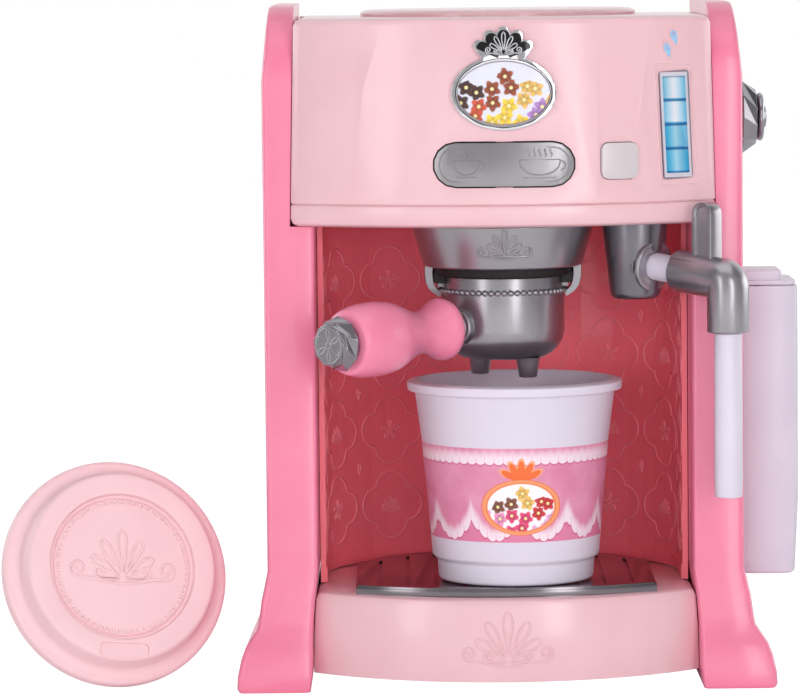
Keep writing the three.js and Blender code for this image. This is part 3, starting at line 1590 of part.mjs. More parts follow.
const outward = new THREE.Vector3(
  Math.cos(THREE.MathUtils.degToRad(lidLean)) * Math.sin(THREE.MathUtils.degToRad(lidTurn)),
  -Math.cos(THREE.MathUtils.degToRad(lidLean)) * Math.cos(THREE.MathUtils.degToRad(lidTurn)),
  Math.sin(THREE.MathUtils.degToRad(lidLean)),
);
const upward = new THREE.Vector3(0, 0, 1).projectOnPlane(outward).normalize();
const sideways = new THREE.Vector3().crossVectors(upward, outward);
const lid = piece('cup_lid', cupLidGeometry(), finish(...headPink));
lid.quaternion.setFromRotationMatrix(new THREE.Matrix4().makeBasis(sideways, upward, outward));
lid.updateMatrixWorld();
const lidLow = new THREE.Box3().setFromObject(lid, true).min.z;
lid.position.set(-panelOutside - lidAway, lidPlace, -lidLow);

// The set stands over the origin, centred in plan.
const set = new THREE.Group();
set.add(machine);
set.updateMatrixWorld(true);
const extent = new THREE.Box3().setFromObject(set, true);
const middle = extent.getCenter(new THREE.Vector3());
set.position.set(-middle.x, -middle.y, 0);
set.updateMatrixWorld(true);

export default set;
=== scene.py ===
from functools import partial
from math import atan2, cos, degrees, pi, radians, sin, sqrt, tan

import bpy
from mathutils import Matrix, Vector


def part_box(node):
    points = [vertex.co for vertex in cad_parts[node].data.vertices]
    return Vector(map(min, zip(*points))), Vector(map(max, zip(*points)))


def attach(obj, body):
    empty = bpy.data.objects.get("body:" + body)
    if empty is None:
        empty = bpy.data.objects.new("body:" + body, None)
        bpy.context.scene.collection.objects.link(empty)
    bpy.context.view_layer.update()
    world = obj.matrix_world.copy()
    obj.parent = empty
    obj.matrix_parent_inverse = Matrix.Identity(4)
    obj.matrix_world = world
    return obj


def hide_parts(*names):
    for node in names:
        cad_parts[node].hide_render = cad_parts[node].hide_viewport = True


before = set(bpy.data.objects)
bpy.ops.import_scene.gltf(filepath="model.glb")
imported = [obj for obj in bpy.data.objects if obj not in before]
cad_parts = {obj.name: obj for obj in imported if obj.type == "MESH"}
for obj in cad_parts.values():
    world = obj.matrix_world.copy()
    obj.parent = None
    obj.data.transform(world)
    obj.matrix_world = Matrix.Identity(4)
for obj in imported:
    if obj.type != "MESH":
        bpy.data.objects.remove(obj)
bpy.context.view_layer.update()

# Camera: a long lens a little above the machine's top and left of its middle, looking down at the row.
# The set is placed by the machine's own middle and front, so a point is given in millimetres from there.
MM = 0.001
PANEL_DEPTH = 128
left_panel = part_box("left_side_panel")
right_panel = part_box("right_side_panel")
row_x = (left_panel[0].x + right_panel[1].x) / 2
row_y = left_panel[1].y - PANEL_DEPTH * MM


def at(x, y, z):
    return Vector((row_x + x * MM, row_y + y * MM, z * MM))


lens = bpy.data.cameras.new("photo_camera")
lens.sensor_width = 36
lens.lens = 202.5
lens.clip_end = 20
camera = bpy.data.objects.new("photo_camera", lens)
bpy.context.collection.objects.link(camera)
CAMERA_TILT = radians(85.187)
CAMERA_ROLL = radians(-0.6)
camera_turn = Matrix.Rotation(CAMERA_TILT, 4, 'X') @ Matrix.Rotation(CAMERA_ROLL, 4, 'Z')
camera.matrix_world = Matrix.Translation(at(-41.8, -1800, 290)) @ camera_turn
bpy.context.scene.camera = camera


# Side panels: two injection-moulded ABS walls in the darker pink. The mould leaves their edges eased, and
# the polished tool leaves a gloss with a very slight ripple.
def linear(code):
    channels = [int(code[i:i + 2], 16) / 255 for i in (1, 3, 5)]
    return (*[c / 12.92 if c <= 0.04045 else ((c + 0.055) / 1.055) ** 2.4 for c in channels], 1)


# Adds a node. Its inputs are values, sockets or nodes, in order or in a dictionary by name, and for a node
# its first output in use is meant. Its settings are attributes, or the stops of a colour ramp.
def added(tree, kind, *inputs, **settings):
    made = tree.nodes.new('ShaderNode' + kind)
    for key, value in settings.items():
        if key == 'stops':
            elements = made.color_ramp.elements
            while len(elements) < len(value):
                elements.new(0.5)
            for element, (place, colour) in zip(elements, value):
                element.position = place
                element.color = linear(colour)
        elif key == 'interpolation':
            made.color_ramp.interpolation = value
        else:
            setattr(made, key, value)
    if inputs and isinstance(inputs[0], dict):
        pairs = [(made.inputs[name], value) for name, value in inputs[0].items()]
    else:
        pairs = zip([socket for socket in made.inputs if socket.enabled], inputs)
    for socket, value in pairs:
        if isinstance(value, bpy.types.Node):
            value = next(output for output in value.outputs if output.enabled)
        if isinstance(value, bpy.types.NodeSocket):
            tree.links.new(value, socket)
        else:
            socket.default_value = value
    return made


def new_material(name):
    made = bpy.data.materials.new(name)
    made.use_nodes = True
    made.node_tree.nodes.clear()
    add = partial(added, made.node_tree)
    return made, add, add('TexCoord').outputs['Object']


# The outer finish that all the plastics and metals share: the gloss varies a little over 9 mm, and the
# surface ripples over 4 mm as a moulded one does.
def coated(add, place, shade, roughness, ripple, coat=0.0, metallic=0.0):
    wear = add('TexNoise', place, 1 / (9 * MM), 3)
    gloss = add('MapRange', wear, 0.0, 1.0, roughness * 0.92, roughness * 1.1)
    peel = add('TexNoise', place, 1 / (4 * MM), 1)
    bump = add('Bump', {'Height': peel, 'Strength': ripple, 'Distance': 0.1 * MM})
    surface = add('BsdfPrincipled', {
        'Base Color': shade, 'Roughness': gloss, 'Normal': bump, 'Metallic': metallic, 'Coat Weight': coat,
        'Coat Roughness': 0.08})
    add('OutputMaterial', surface)


# A colour clouds into a second one over the grain, a length in millimetres.
def clouded(name, colour, second, roughness, grain, ripple=0.1, metallic=0.0, coat=0.0, detail=3, swirl=0.0):
    made, add, place = new_material(name)
    cloud = add('TexNoise', {
        'Vector': place, 'Scale': 1 / (grain * MM), 'Detail': detail, 'Distortion': swirl})
    shade = add('ValToRGB', cloud, stops=[(0.3, second), (0.7, colour)])
    coated(add, place, shade, roughness, ripple, coat, metallic)
    return made


# Moulded ABS: the colour goes right through, with faint flow marks about 25 mm long, under a polished skin.
def moulded_abs(name, colour, flow_colour, roughness=0.3, ripple=0.06, coat=0.25):
    return clouded(name, colour, flow_colour, roughness, 25, ripple, coat=coat, detail=2, swirl=0.6)


def alone(made):
    bpy.ops.object.select_all(action='DESELECT')
    made.select_set(True)
    bpy.context.view_layer.objects.active = made


def finished(made, material, body):
    made.data.materials.clear()
    made.data.materials.append(material)
    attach(made, body)
    return made


# A CAD piece shown as it is, with the given material.
def dressed(material, *nodes):
    for node in nodes:
        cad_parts[node].data.materials.clear()
        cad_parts[node].data.materials.append(material)


# A copy of a moulded part with its edges eased. Its doubles are merged before its edges are bevelled.
def eased(node, easing, segments=3, sharp=28):
    made = bpy.data.objects.new(node + "_moulding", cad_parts[node].data.copy())
    bpy.context.collection.objects.link(made)
    alone(made)
    bpy.ops.object.mode_set(mode='EDIT')
    bpy.ops.mesh.select_all(action='SELECT')
    bpy.ops.mesh.remove_doubles(threshold=0.01 * MM)
    bpy.ops.mesh.dissolve_limited(angle_limit=radians(0.6))
    bpy.ops.object.mode_set(mode='OBJECT')
    bevel = made.modifiers.new("eased", 'BEVEL')
    bevel.width = easing * MM
    bevel.segments = segments
    bevel.limit_method = 'ANGLE'
    bevel.angle_limit = radians(sharp)
    bevel.use_clamp_overlap = True
    bpy.ops.object.modifier_apply(modifier="eased")
    bpy.ops.object.shade_smooth_by_angle(angle=radians(sharp))
    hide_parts(node)
    return made


# A copy's lowest and highest points are moved to new heights, and the rest in proportion.
def stretched(made, low, high, new_low, new_high):
    factor = (new_high - new_low) / (high - low)
    alone(made)
    bpy.ops.object.mode_set(mode='EDIT')
    bpy.ops.mesh.select_all(action='SELECT')
    bpy.ops.transform.resize(
        value=(1, 1, factor), center_override=(0, 0, (new_low - factor * low) / (1 - factor) * MM))
    bpy.ops.object.mode_set(mode='OBJECT')
    return made


panel_pink = moulded_abs("moulded gloss ABS, rose", "#EE84A3", "#EC7E9E", roughness=0.24)
for node in ("left_side_panel", "right_side_panel"):
    finished(eased(node, 0.8), panel_pink, "machine")

# Head and base: a bow-fronted housing over a shallow tray, and the base under the cup. All are moulded in
# light pink ABS, and screws hold the covers at the back and below.
head_pink = moulded_abs("moulded gloss ABS, blush", "#E7BDC5", "#E5B8C0", roughness=0.22)
for node in ("head_housing", "base_shell"):
    finished(eased(node, 0.5), head_pink, "machine")
finished(stretched(eased("head_floor", 0.5), 187.5, 195.6, 187.5, 196.3), head_pink, "machine")
dressed(head_pink, "rear_cover", "base_bottom_cover", "battery_door")

# Top cover: a low round disc with a soft edge, moulded in the head's light pink ABS and seated on its top.
# It is spun, like all the round pieces. Each piece starts as a primitive, named and opened for editing.
def opened(name):
    made = bpy.context.object
    made.name = made.data.name = name
    bpy.ops.object.transform_apply()
    bpy.ops.object.mode_set(mode='EDIT')
    bpy.ops.mesh.select_all(action='SELECT')
    return made


# A profile is drawn one point at a time from a single vertex, and then its corners are rounded. Each point
# is a radius, a height and the rounding of its corner.
def pulled(name, points):
    bpy.ops.object.select_all(action='DESELECT')
    bpy.ops.mesh.primitive_plane_add(size=MM, location=(0, 0, 0))
    made = opened(name)
    bpy.ops.mesh.select_mode(type='VERT')
    bpy.ops.mesh.merge(type='CENTER')
    bpy.ops.transform.translate(value=(points[0][0] * MM, 0, points[0][1] * MM))
    for start, end in zip(points, points[1:]):
        step = ((end[0] - start[0]) * MM, 0, (end[1] - start[1]) * MM)
        bpy.ops.mesh.extrude_region_move(TRANSFORM_OT_translate={"value": step})
    for rounding in sorted({point[2] for point in points if point[2]}):
        bpy.ops.mesh.select_all(action='DESELECT')
        bpy.ops.object.mode_set(mode='OBJECT')
        corners = [Vector((r * MM, 0, z * MM)) for r, z, bend in points if bend == rounding]
        for vertex in made.data.vertices:
            vertex.select = any((vertex.co - corner).length < 0.01 * MM for corner in corners)
        bpy.ops.object.mode_set(mode='EDIT')
        bpy.ops.mesh.bevel(offset=rounding * MM, segments=5, affect='VERTICES', clamp_overlap=True)
    return made


def placed(made, place, sharp=34):
    bpy.ops.mesh.select_all(action='SELECT')
    bpy.ops.mesh.normals_make_consistent(inside=False)
    bpy.ops.object.mode_set(mode='OBJECT')
    made.matrix_world = place
    bpy.ops.object.transform_apply()
    bpy.ops.object.shade_smooth_by_angle(angle=radians(sharp))
    return made


# The whole mesh goes once round the upright axis, as one skin or as copies.
def turned_round(steps, copies=False):
    bpy.ops.mesh.select_all(action='SELECT')
    bpy.ops.mesh.spin(steps=steps, angle=2 * pi, dupli=copies, center=(0, 0, 0), axis=(0, 0, 1))
    bpy.ops.mesh.select_all(action='SELECT')
    bpy.ops.mesh.remove_doubles(threshold=0.004 * MM)


def spun(name, points, place, steps=96, sharp=34):
    made = pulled(name, points)
    turned_round(steps)
    return placed(made, place, sharp)


cover = spun("top_cover_disc", [
    (0, 270.1, 0), (56.9, 270.1, 0), (56.9, 271.8, 0.6), (54.6, 273, 1.4), (0, 273, 0),
], Matrix.Translation(at(0, 66, 0)), steps=128)
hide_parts("top_cover")
finished(cover, head_pink, "machine")

# Group head: a vacuum-metallised cone under the head with a dark seal in its bore and two hooks for the
# portafilter. The satin metallising is a thin silver coat over grey plastic, so it is softer than chrome.
def metallised(name, colour, shade_colour, roughness, ripple=0.012, metallic=0.9):
    return clouded(name, colour, shade_colour, roughness, 18, ripple, metallic)


# Two arcs of a spun ring, left and right, are cut off flat at a distance from its middle.
def arcs(name, points, half):
    made = pulled(name, points)
    turned_round(96)
    for side in (-1, 1):
        bpy.ops.mesh.select_all(action='SELECT')
        bpy.ops.mesh.bisect(
            plane_co=(0, side * half * MM, 0), plane_no=(0, side, 0), use_fill=True, clear_outer=True)
    return placed(made, group_place)


satin_silver = metallised("satin metallised plastic", "#B0ADB3", "#A9A6AC", 0.29)
GROUP_Y = 14
GROUP_TOP = 187.2
GROUP_BOTTOM = 170.1
group_place = Matrix.Translation(at(0, GROUP_Y, 0))
cone = spun("group_cone", [
    (0, GROUP_TOP + 2, 0), (11, GROUP_TOP + 2, 0), (11, GROUP_TOP, 0), (36.8, GROUP_TOP, 0.6),
    (32, GROUP_BOTTOM, 0.9), (28.6, GROUP_BOTTOM - 0.2, 0.6), (28.6, 175.5, 0), (0, 175.5, 0),
], group_place)
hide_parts("group_head")
finished(cone, satin_silver, "machine")
hooks = arcs("group_hooks", [
    (29, GROUP_BOTTOM + 0.4, 0), (29, 165, 1.6), (28, 161.8, 1.2), (25.6, 159.5, 0.4), (25.9, 157.6, 0.6),
    (30.3, 160.4, 2.6), (31.9, 164.6, 2.6), (31.9, GROUP_BOTTOM + 0.4, 0), (29, GROUP_BOTTOM + 0.4, 0),
], 5.5)
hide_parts("group_head")
finished(hooks, satin_silver, "machine")

# Group seal: a dark rubber ring pressed into the group head's bore. Two dark pads of the same rubber stand
# just
# inside the hooks: painted shade, where the hooks' inner sides lie in shadow.
seal_dark = clouded("moulded rubber, dark", "#171112", "#110C0D", 0.6, 3, 0.3)
finished(eased("group_gasket", 0.5), seal_dark, "machine")
shade_pads = arcs("seal_shade_pads", [
    (25.4, 163.5, 0), (28.7, 163.5, 0.4), (28.7, 167.5, 0), (25.4, 167.5, 0), (25.4, 163.5, 0),
], 10)
finished(shade_pads, seal_dark, "machine")

# Portafilter basket: a deep metallised cup with a row of beads under its rim. Two lugs on its sides rest in
# the group head's hooks, and it turns with the handle and the spouts.
BASKET_TOP = 166.3
BASKET_BOTTOM = 132.7
BEAD_ROW = 160.3
BASKET_RADIUS = 24.8
BEAD_COUNT = 60
basket = spun("basket_cup", [
    (0, BASKET_BOTTOM, 0), (BASKET_RADIUS, BASKET_BOTTOM, 12), (BASKET_RADIUS, BASKET_TOP, 0.5),
    (22.8, BASKET_TOP, 0.5), (22.8, BASKET_BOTTOM + 2, 10), (0, BASKET_BOTTOM + 2, 0),
], group_place)
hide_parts("portafilter_basket")
finished(basket, satin_silver, "portafilter")

first_bead = Vector((0, -BASKET_RADIUS - 0.3, BEAD_ROW)) * MM
bpy.ops.object.select_all(action='DESELECT')
bpy.ops.mesh.primitive_uv_sphere_add(segments=14, ring_count=8, radius=1.3 * MM, location=first_bead)
beads = opened("basket_beads")
bpy.ops.transform.resize(value=(1, 0.85, 0.95), center_override=first_bead)
turned_round(BEAD_COUNT, True)
placed(beads, group_place)
finished(beads, satin_silver, "portafilter")

LUG_LOW = 161.7
LUG_IN = BASKET_RADIUS - 1
LUG_OUT = BASKET_RADIUS + 1.8
lugs = arcs("basket_lugs", [
    (LUG_IN, LUG_LOW, 0), (LUG_OUT, LUG_LOW, 0.3), (LUG_OUT, LUG_LOW + 1.4, 0.3), (LUG_IN, LUG_LOW + 1.4, 0),
    (LUG_IN, LUG_LOW, 0),
], 4)
finished(lugs, satin_silver, "portafilter")
for across, back in ((-9.4, 23.4), (9.4, 4.6)):
    nozzle = spun("spout_nozzle_left" if across < 0 else "spout_nozzle_right", [
        (0, BASKET_BOTTOM + 0.6, 0), (4.9, BASKET_BOTTOM + 0.6, 0), (4.5, 131.4, 0.4), (3.6, 125.4, 0.6),
        (2.3, 125.4, 0.3), (2.3, 129.5, 0), (0, 129.5, 0),
    ], Matrix.Translation(at(across + 0.2, back, 0)), steps=40)
    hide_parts("portafilter_spouts")
    finished(nozzle, satin_silver, "portafilter")

# Handle: a waisted grip in glossy rose plastic on a metallised collar, closed by a faceted cap like a cut
# stone. Its frame runs outwards along the handle, turned to the front left and drooping a little.
HANDLE_AXIS = BASKET_BOTTOM + 15
HANDLE_TURN = radians(225)
HANDLE_DROOP = 2.2
SOLID_DROOP = 3.4
handle_root = Matrix.Translation(at(0, GROUP_Y, HANDLE_AXIS)) @ Matrix.Rotation(HANDLE_TURN, 4, 'Z')
handle_place = handle_root @ Matrix.Rotation(radians(90 + HANDLE_DROOP), 4, 'Y')
solid_place = handle_root @ Matrix.Rotation(radians(90 + SOLID_DROOP), 4, 'Y')
collar = spun("handle_collar", [
    (0, 24, 0), (7.3, 24, 0), (7.4, 27, 0.9), (5.5, 27.8, 0.7), (5.5, 32.6, 0), (0, 32.6, 0),
], handle_place, steps=48)
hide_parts("portafilter_collar")
finished(collar, satin_silver, "portafilter")
handle_pink = moulded_abs("moulded gloss ABS, handle rose", "#EE88A8", "#EA80A1", roughness=0.26)
grip = spun("handle_grip", [
    (0, 32.2, 0), (8.2, 32.2, 1.5), (12.2, 33.9, 1.8), (12.6, 36.9, 1.9), (9.4, 42.6, 4), (8.2, 48.3, 3.5),
    (8.9, 53.2, 2.8), (11.2, 59, 3), (13.8, 65, 3.6), (14.7, 71.5, 3.2), (14.7, 79, 3), (13.9, 85, 2.4),
    (12.2, 89.4, 1.6), (0, 89.4, 0),
], handle_place, steps=72, sharp=40)
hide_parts("portafilter_handle")
finished(grip, handle_pink, "portafilter")
polished_silver = metallised("polished metallised plastic", "#A3A0A6", "#96939A", 0.16, 0.03, 1)
cap = eased("handle_cap", 0.2, 2, 12)
cap.matrix_world = handle_place @ solid_place.inverted()
alone(cap)
bpy.ops.object.transform_apply()
finished(cap, polished_silver, "portafilter")

# Steam post: a tapered metallised post pushed up into the head, with a round socket that the pipe turns in.
# Post and socket take a darker copy of the ring's satin metallising: painted shade, for the head's shadow on
# them.
POST_X = 53.2
POST_Y = 8
STEAM_AXIS = 171
STEAM_TURN = radians(-45)
STEAM_DROOP = 6
steam_place = Matrix.Translation(at(POST_X, POST_Y, STEAM_AXIS)) @ Matrix.Rotation(STEAM_TURN, 4, 'Z')
steam_out = steam_place @ Matrix.Rotation(radians(90 + STEAM_DROOP), 4, 'Y')
# A darker copy of the satin metallising: painted shade for the post and socket under the head.
satin_painted_shade = metallised("satin metallised plastic, painted shade", "#86828A", "#7F7B83", 0.29)
post = spun("steam_post_cone", [
    (0, 189.2, 0), (5.5, 189.2, 0), (5.5, 187.2, 0), (13.2, 187.2, 0.4), (9.9, 156.5, 2.6), (0, 156.5, 0),
], Matrix.Translation(at(POST_X, POST_Y, 0)), steps=72)
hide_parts("steam_post")
finished(post, satin_painted_shade, "machine")
socket = spun("steam_socket", [
    (0, 0, 0), (9.3, 0, 0), (9.7, 7.5, 1.2), (6.2, 7.5, 0.4), (6.0, 3, 0), (0, 3, 0),
], steam_out, steps=72)
finished(socket, satin_painted_shade, "machine")
ring = spun("steam_socket_ring", [
    (5.8, 8.4, 0), (9.4, 8.4, 0.5), (10.6, 9.2, 0.6), (10.2, 11.2, 0.9), (7.8, 10.9, 0.9), (5.8, 11.4, 0.5),
    (5.8, 8.4, 0),
], steam_out, steps=72)
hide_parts("steam_ring")
finished(ring, satin_silver, "machine")

# Steam pipe and wand: two tubes in pearl white ABS, pushed into the two ends of an elbow. The pipe turns in
# the post's socket and takes the wand with it.
pearl_white = moulded_abs("moulded ABS, pearl white", "#DAD2E1", "#D5CDDD", roughness=0.36, coat=0.1)
PIPE_RADIUS = 5.5
PIPE_REACH = 49.2
pipe = spun("steam_pipe_tube", [
    (0, 2.8, 0), (PIPE_RADIUS, 2.8, 0.4), (PIPE_RADIUS, 32, 0.4), (0, 32, 0),
], steam_out, steps=64)
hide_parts("steam_pipe")
finished(pipe, pearl_white, "steam_arm")
wand_place = steam_place @ Matrix.Translation((PIPE_REACH * MM, 0, 0))
wand = spun("steam_wand_tube", [
    (0, -91.4, 0), (5.4, -91.4, 0.7), (5.7, -84, 0), (5.5, -26.2, 0.3), (3.6, -26.2, 0.2), (3.6, -19.2, 0.4),
    (0, -19.2, 0),
], wand_place, steps=64)
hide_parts("steam_wand")
finished(wand, pearl_white, "steam_arm")

# Elbow: a metallised tap joint between pipe and wand. A round end is drawn out along the pipe, turned down
# at the corner and drawn out again to the wand.
ELBOW_RADIUS = 8.35
ELBOW_START = 23.6
ELBOW_END = -25.9
BEND = 3.6
droop = radians(STEAM_DROOP)
corner = PIPE_REACH / cos(droop)
along = Vector((cos(droop), 0, -sin(droop)))
across = Vector((-sin(droop), 0, -cos(droop)))
bend_run = BEND * tan((pi / 2 - droop) / 2)
bend_start = corner - bend_run


def picked(made, test, kind='FACE'):
    bpy.ops.mesh.select_mode(type=kind)
    bpy.ops.mesh.select_all(action='DESELECT')
    bpy.ops.object.mode_set(mode='OBJECT')
    mesh = made.data
    for part in mesh.polygons if kind == 'FACE' else mesh.edges:
        if kind == 'FACE':
            part.select = test(part.center / MM, part.normal)
        else:
            ends = [mesh.vertices[i].co / MM for i in part.vertices]
            part.select = test((ends[0] + ends[1]) / 2, (ends[1] - ends[0]).normalized())
    bpy.ops.object.mode_set(mode='EDIT')


bpy.ops.object.select_all(action='DESELECT')
bpy.ops.mesh.primitive_circle_add(
    vertices=56, radius=ELBOW_RADIUS * MM, fill_type='NGON', location=along * ELBOW_START * MM,
    rotation=(0, pi / 2 + droop, 0))
elbow = opened("steam_elbow_tap")
bpy.ops.mesh.extrude_region_move(TRANSFORM_OT_translate={"value": along * (bend_start - ELBOW_START) * MM})
bpy.ops.mesh.spin(
    steps=12, angle=pi / 2 - droop, center=(along * bend_start + across * BEND) * MM, axis=(0, -1, 0))
down_start = along.z * corner - bend_run
bpy.ops.mesh.extrude_region_move(TRANSFORM_OT_translate={"value": (0, 0, (ELBOW_END - down_start) * MM)})
picked(elbow, lambda middle, way: middle.x < ELBOW_START + 0.4 or middle.z < ELBOW_END + 0.1, 'EDGE')
bpy.ops.mesh.bevel(offset=0.9 * MM, segments=3)
placed(elbow, steam_place, 40)
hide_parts("steam_elbow")
finished(elbow, satin_silver, "steam_arm")

# Thumb lever: a round-topped tab, moulded and metallised with the elbow and shaped from a block. Its broad
# faces are sunk inside a rim.
LEVER_PLACE = 38.2
LEVER_WIDTH = 10.3
LEVER_THICKNESS = 6.9
LEVER_TOP = 25.6


def block(name, middle, size):
    bpy.ops.object.select_all(action='DESELECT')
    bpy.ops.mesh.primitive_cube_add(size=MM, location=middle * MM)
    made = opened(name)
    bpy.ops.transform.resize(value=size, center_override=middle * MM)
    return made


lever_middle = Vector((LEVER_PLACE, 0, LEVER_TOP / 2))
lever = block("steam_lever", lever_middle, (LEVER_WIDTH, LEVER_THICKNESS, LEVER_TOP))
picked(lever, lambda middle, way: abs(way.y) > 0.9 and middle.z > LEVER_TOP - 1, 'EDGE')
bpy.ops.mesh.bevel(offset=LEVER_WIDTH * 0.49 * MM, segments=10)
picked(lever, lambda middle, normal: abs(normal.y) > 0.9)
bpy.ops.mesh.inset(thickness=1.7 * MM, use_individual=True)
bpy.ops.mesh.inset(thickness=0.5 * MM, depth=-1.1 * MM, use_individual=True)
picked(lever, lambda middle, way: abs(middle.y) > LEVER_THICKNESS / 2 - 0.05 and (
    abs(middle.x - LEVER_PLACE) > LEVER_WIDTH / 2 - 0.2
    or middle.z > LEVER_TOP - LEVER_WIDTH / 2 - 0.5), 'EDGE')
bpy.ops.mesh.bevel(offset=0.5 * MM, segments=2)
placed(lever, steam_place, 32)
finished(lever, satin_silver, "steam_arm")

# Ornament on the group head and the cap: ridges of the moulding. Each motif is drawn as strokes in its own
# flat frame, laid on the surface it belongs to and given a round section that is sunk by half.
def laid(name, strokes, surface, radius, material, body):
    curve = bpy.data.curves.new(name, 'CURVE')
    curve.dimensions = '3D'
    curve.bevel_depth = radius * MM
    curve.bevel_resolution = 2
    curve.use_fill_caps = True
    for stroke in strokes:
        closed = (Vector(stroke[0]) - Vector(stroke[-1])).length < 1e-4
        points = [surface(*point) for point in (stroke[:-1] if closed else stroke)]
        spline = curve.splines.new('POLY')
        spline.points.add(len(points) - 1)
        spline.use_cyclic_u = closed
        for target, point in zip(spline.points, points):
            target.co = (*point, 1)
    made = bpy.data.objects.new(name, curve)
    bpy.context.collection.objects.link(made)
    alone(made)
    bpy.ops.object.convert(target='MESH')
    made = bpy.context.object
    bpy.ops.object.shade_smooth_by_angle(angle=radians(50))
    return finished(made, material, body)


def petal(lean, length, width, steps=18):
    turn = radians(lean)
    stroke = []
    for i in range(steps + 1):
        step = 2 * pi * i / steps
        out = length * (0.16 + 0.42 * (1 - cos(step)))
        side = width / 2 * sin(step) * (0.55 - 0.45 * cos(step))
        stroke.append((
            out * sin(turn) + side * cos(turn), out * cos(turn) - side * sin(turn)))
    return stroke


def scroll(side, reach, size, turns=1.35, steps=22):
    stroke = [(side * reach * 0.12, 0)]
    for i in range(steps + 1):
        angle = radians(-90) + 2 * pi * turns * i / steps
        radius = size * (1 - 0.8 * i / steps)
        stroke.append((side * (reach + radius * cos(angle)), size + radius * sin(angle)))
    return stroke


# A palmette is five petals over two pairs of scrolls and a curved foot.
def palmette(width, height):
    leans = (-56, -28, 0, 28, 56)
    strokes = [petal(lean, height * (1 - 0.004 * abs(lean)), height * 0.26) for lean in leans]
    strokes += [scroll(side, width * reach, width * size)
                for side in (-1, 1) for reach, size in ((0.2, 0.06), (0.4, 0.085))]
    strokes.append([
        (width * 0.3 * i / 8, -height * 0.1 * cos(pi / 2 * i / 8)) for i in range(-8, 9)])
    return strokes


# Points along part of a circle. Its start and sweep are in degrees.
def arc(x, y, radius, start, sweep, steps):
    turns = [radians(start + sweep * i / steps) for i in range(steps + 1)]
    return [(x + radius * cos(turn), y + radius * sin(turn)) for turn in turns]


def ring_stroke(radius, steps=72):
    return arc(0, 0, radius, 0, 360, steps)


def rosette(radius, petals):
    strokes = [petal(360 * i / petals, radius, radius * 1.6 / petals ** 0.7) for i in range(petals)]
    return strokes + [ring_stroke(radius * 0.2, 12)]


def on_cone(u, v):
    height = 175.6 + v
    radius = 32 + 4.8 * (height - GROUP_BOTTOM) / (GROUP_TOP - GROUP_BOTTOM) - 0.12
    return at(radius * sin(u / radius), GROUP_Y - radius * cos(u / radius), height)


def on_cap(u, v):
    return handle_place @ Vector((-v * MM, u * MM, 98.55 * MM))


laid("group_palmette", palmette(23, 10.5), on_cone, 0.52, satin_silver, "machine")
laid("cap_rosette", rosette(6.2, 6) + [ring_stroke(6.9)],
     on_cap, 0.3, satin_silver, "portafilter")

# Base ornament: the same palmette, larger, on the bow of the base's front. It is a ridge of the same
# moulding, so it has the base's own pink.
BASE_RADIUS = 114
BASE_FRONT = -26.5


def on_base(u, v):
    return at(u, BASE_FRONT + BASE_RADIUS - sqrt(BASE_RADIUS ** 2 - u * u) + 0.1, 14.5 + v)


laid("base_palmette", palmette(38, 20), on_base, 0.5, head_pink, "machine")

# Cup bay wall: a thin curved moulding in satin pink, covered with raised four-lobed figures in
# staggered rows. Each has a small flower or palmette inside, and a bud stands between the rows.
# The wall's deep salmon is partly its own pink and partly painted shade, for the darker, redder shaded
# recess.
bay_pink_and_painted_shade = moulded_abs("moulded satin ABS, salmon", "#FF7A8A", "#FA7484", roughness=0.34, coat=0.2)
dressed(bay_pink_and_painted_shade, "alcove_wall")
BACK_CENTRE = -4.7
BACK_RADIUS = 110.5
BACK_RUN = 49.8
BEND_X = 29
BEND_Y = 55.25
BEND_RADIUS = 43.9
BEND_RUN = 49.2
FIGURE_PITCH = 31.8
LOBE_RADIUS = 7.2
LOBE_REACH = 7
LOBE_MEETING = 7.197
FIGURE_LOW = 63.7


def on_bay(u, z, sunk=0.12):
    side = -1 if u < 0 else 1
    run = abs(u)
    if run < BACK_RUN:
        turn = run / BACK_RADIUS
        radius = BACK_RADIUS + sunk
        x = radius * sin(turn)
        y = BACK_CENTRE + radius * cos(turn)
    elif run < BACK_RUN + BEND_RUN:
        turn = BACK_RUN / BACK_RADIUS + (run - BACK_RUN) / BEND_RADIUS
        radius = BEND_RADIUS + sunk
        x = BEND_X + radius * sin(turn)
        y = BEND_Y + radius * cos(turn)
    else:
        x = BEND_X + BEND_RADIUS + sunk
        y = BEND_Y - (run - BACK_RUN - BEND_RUN)
    return at(side * x, y, z)


def quatrefoil():
    corner = degrees(atan2(LOBE_MEETING, LOBE_MEETING - LOBE_REACH))
    outline = []
    for x, y, middle in ((1, 0, 0), (0, 1, 90), (-1, 0, 180), (0, -1, 270)):
        outline += arc(x * LOBE_REACH, y * LOBE_REACH, LOBE_RADIUS, middle - corner, 2 * corner, 10)
    return outline + outline[:1]


def moved(strokes, x, y):
    return [[(x + u, y + v) for u, v in stroke] for stroke in strokes]


figures = []
for column in range(-4, 4):
    for row in range(4):
        place = ((column + 0.5) * FIGURE_PITCH, FIGURE_LOW + row * FIGURE_PITCH)
        figures += moved([quatrefoil()], *place)
        if abs(place[0]) < BACK_RUN + BEND_RUN:
            inside = rosette(4.2, 5) if (column + row) % 2 else moved(palmette(9, 6), 0, -2.6)
            figures += moved(inside, *place)
for column in range(-3, 4):
    for row in range(1, 4):
        foot = FIGURE_LOW + (row - 0.5) * FIGURE_PITCH - 3
        figures += moved([petal(0, 5, 2.4)], column * FIGURE_PITCH, foot)
# The figures are glossier than the wall and a lighter copy of its pink: a painted highlight along their
# ridges.
bay_ridge_painted_highlight = moulded_abs("moulded ABS, salmon, glossy ridge with painted highlight", "#FF8E9B", "#FC8794", 0.24, coat=0.2)
laid("bay_figures", figures, on_bay, 0.6, bay_ridge_painted_highlight, "machine")

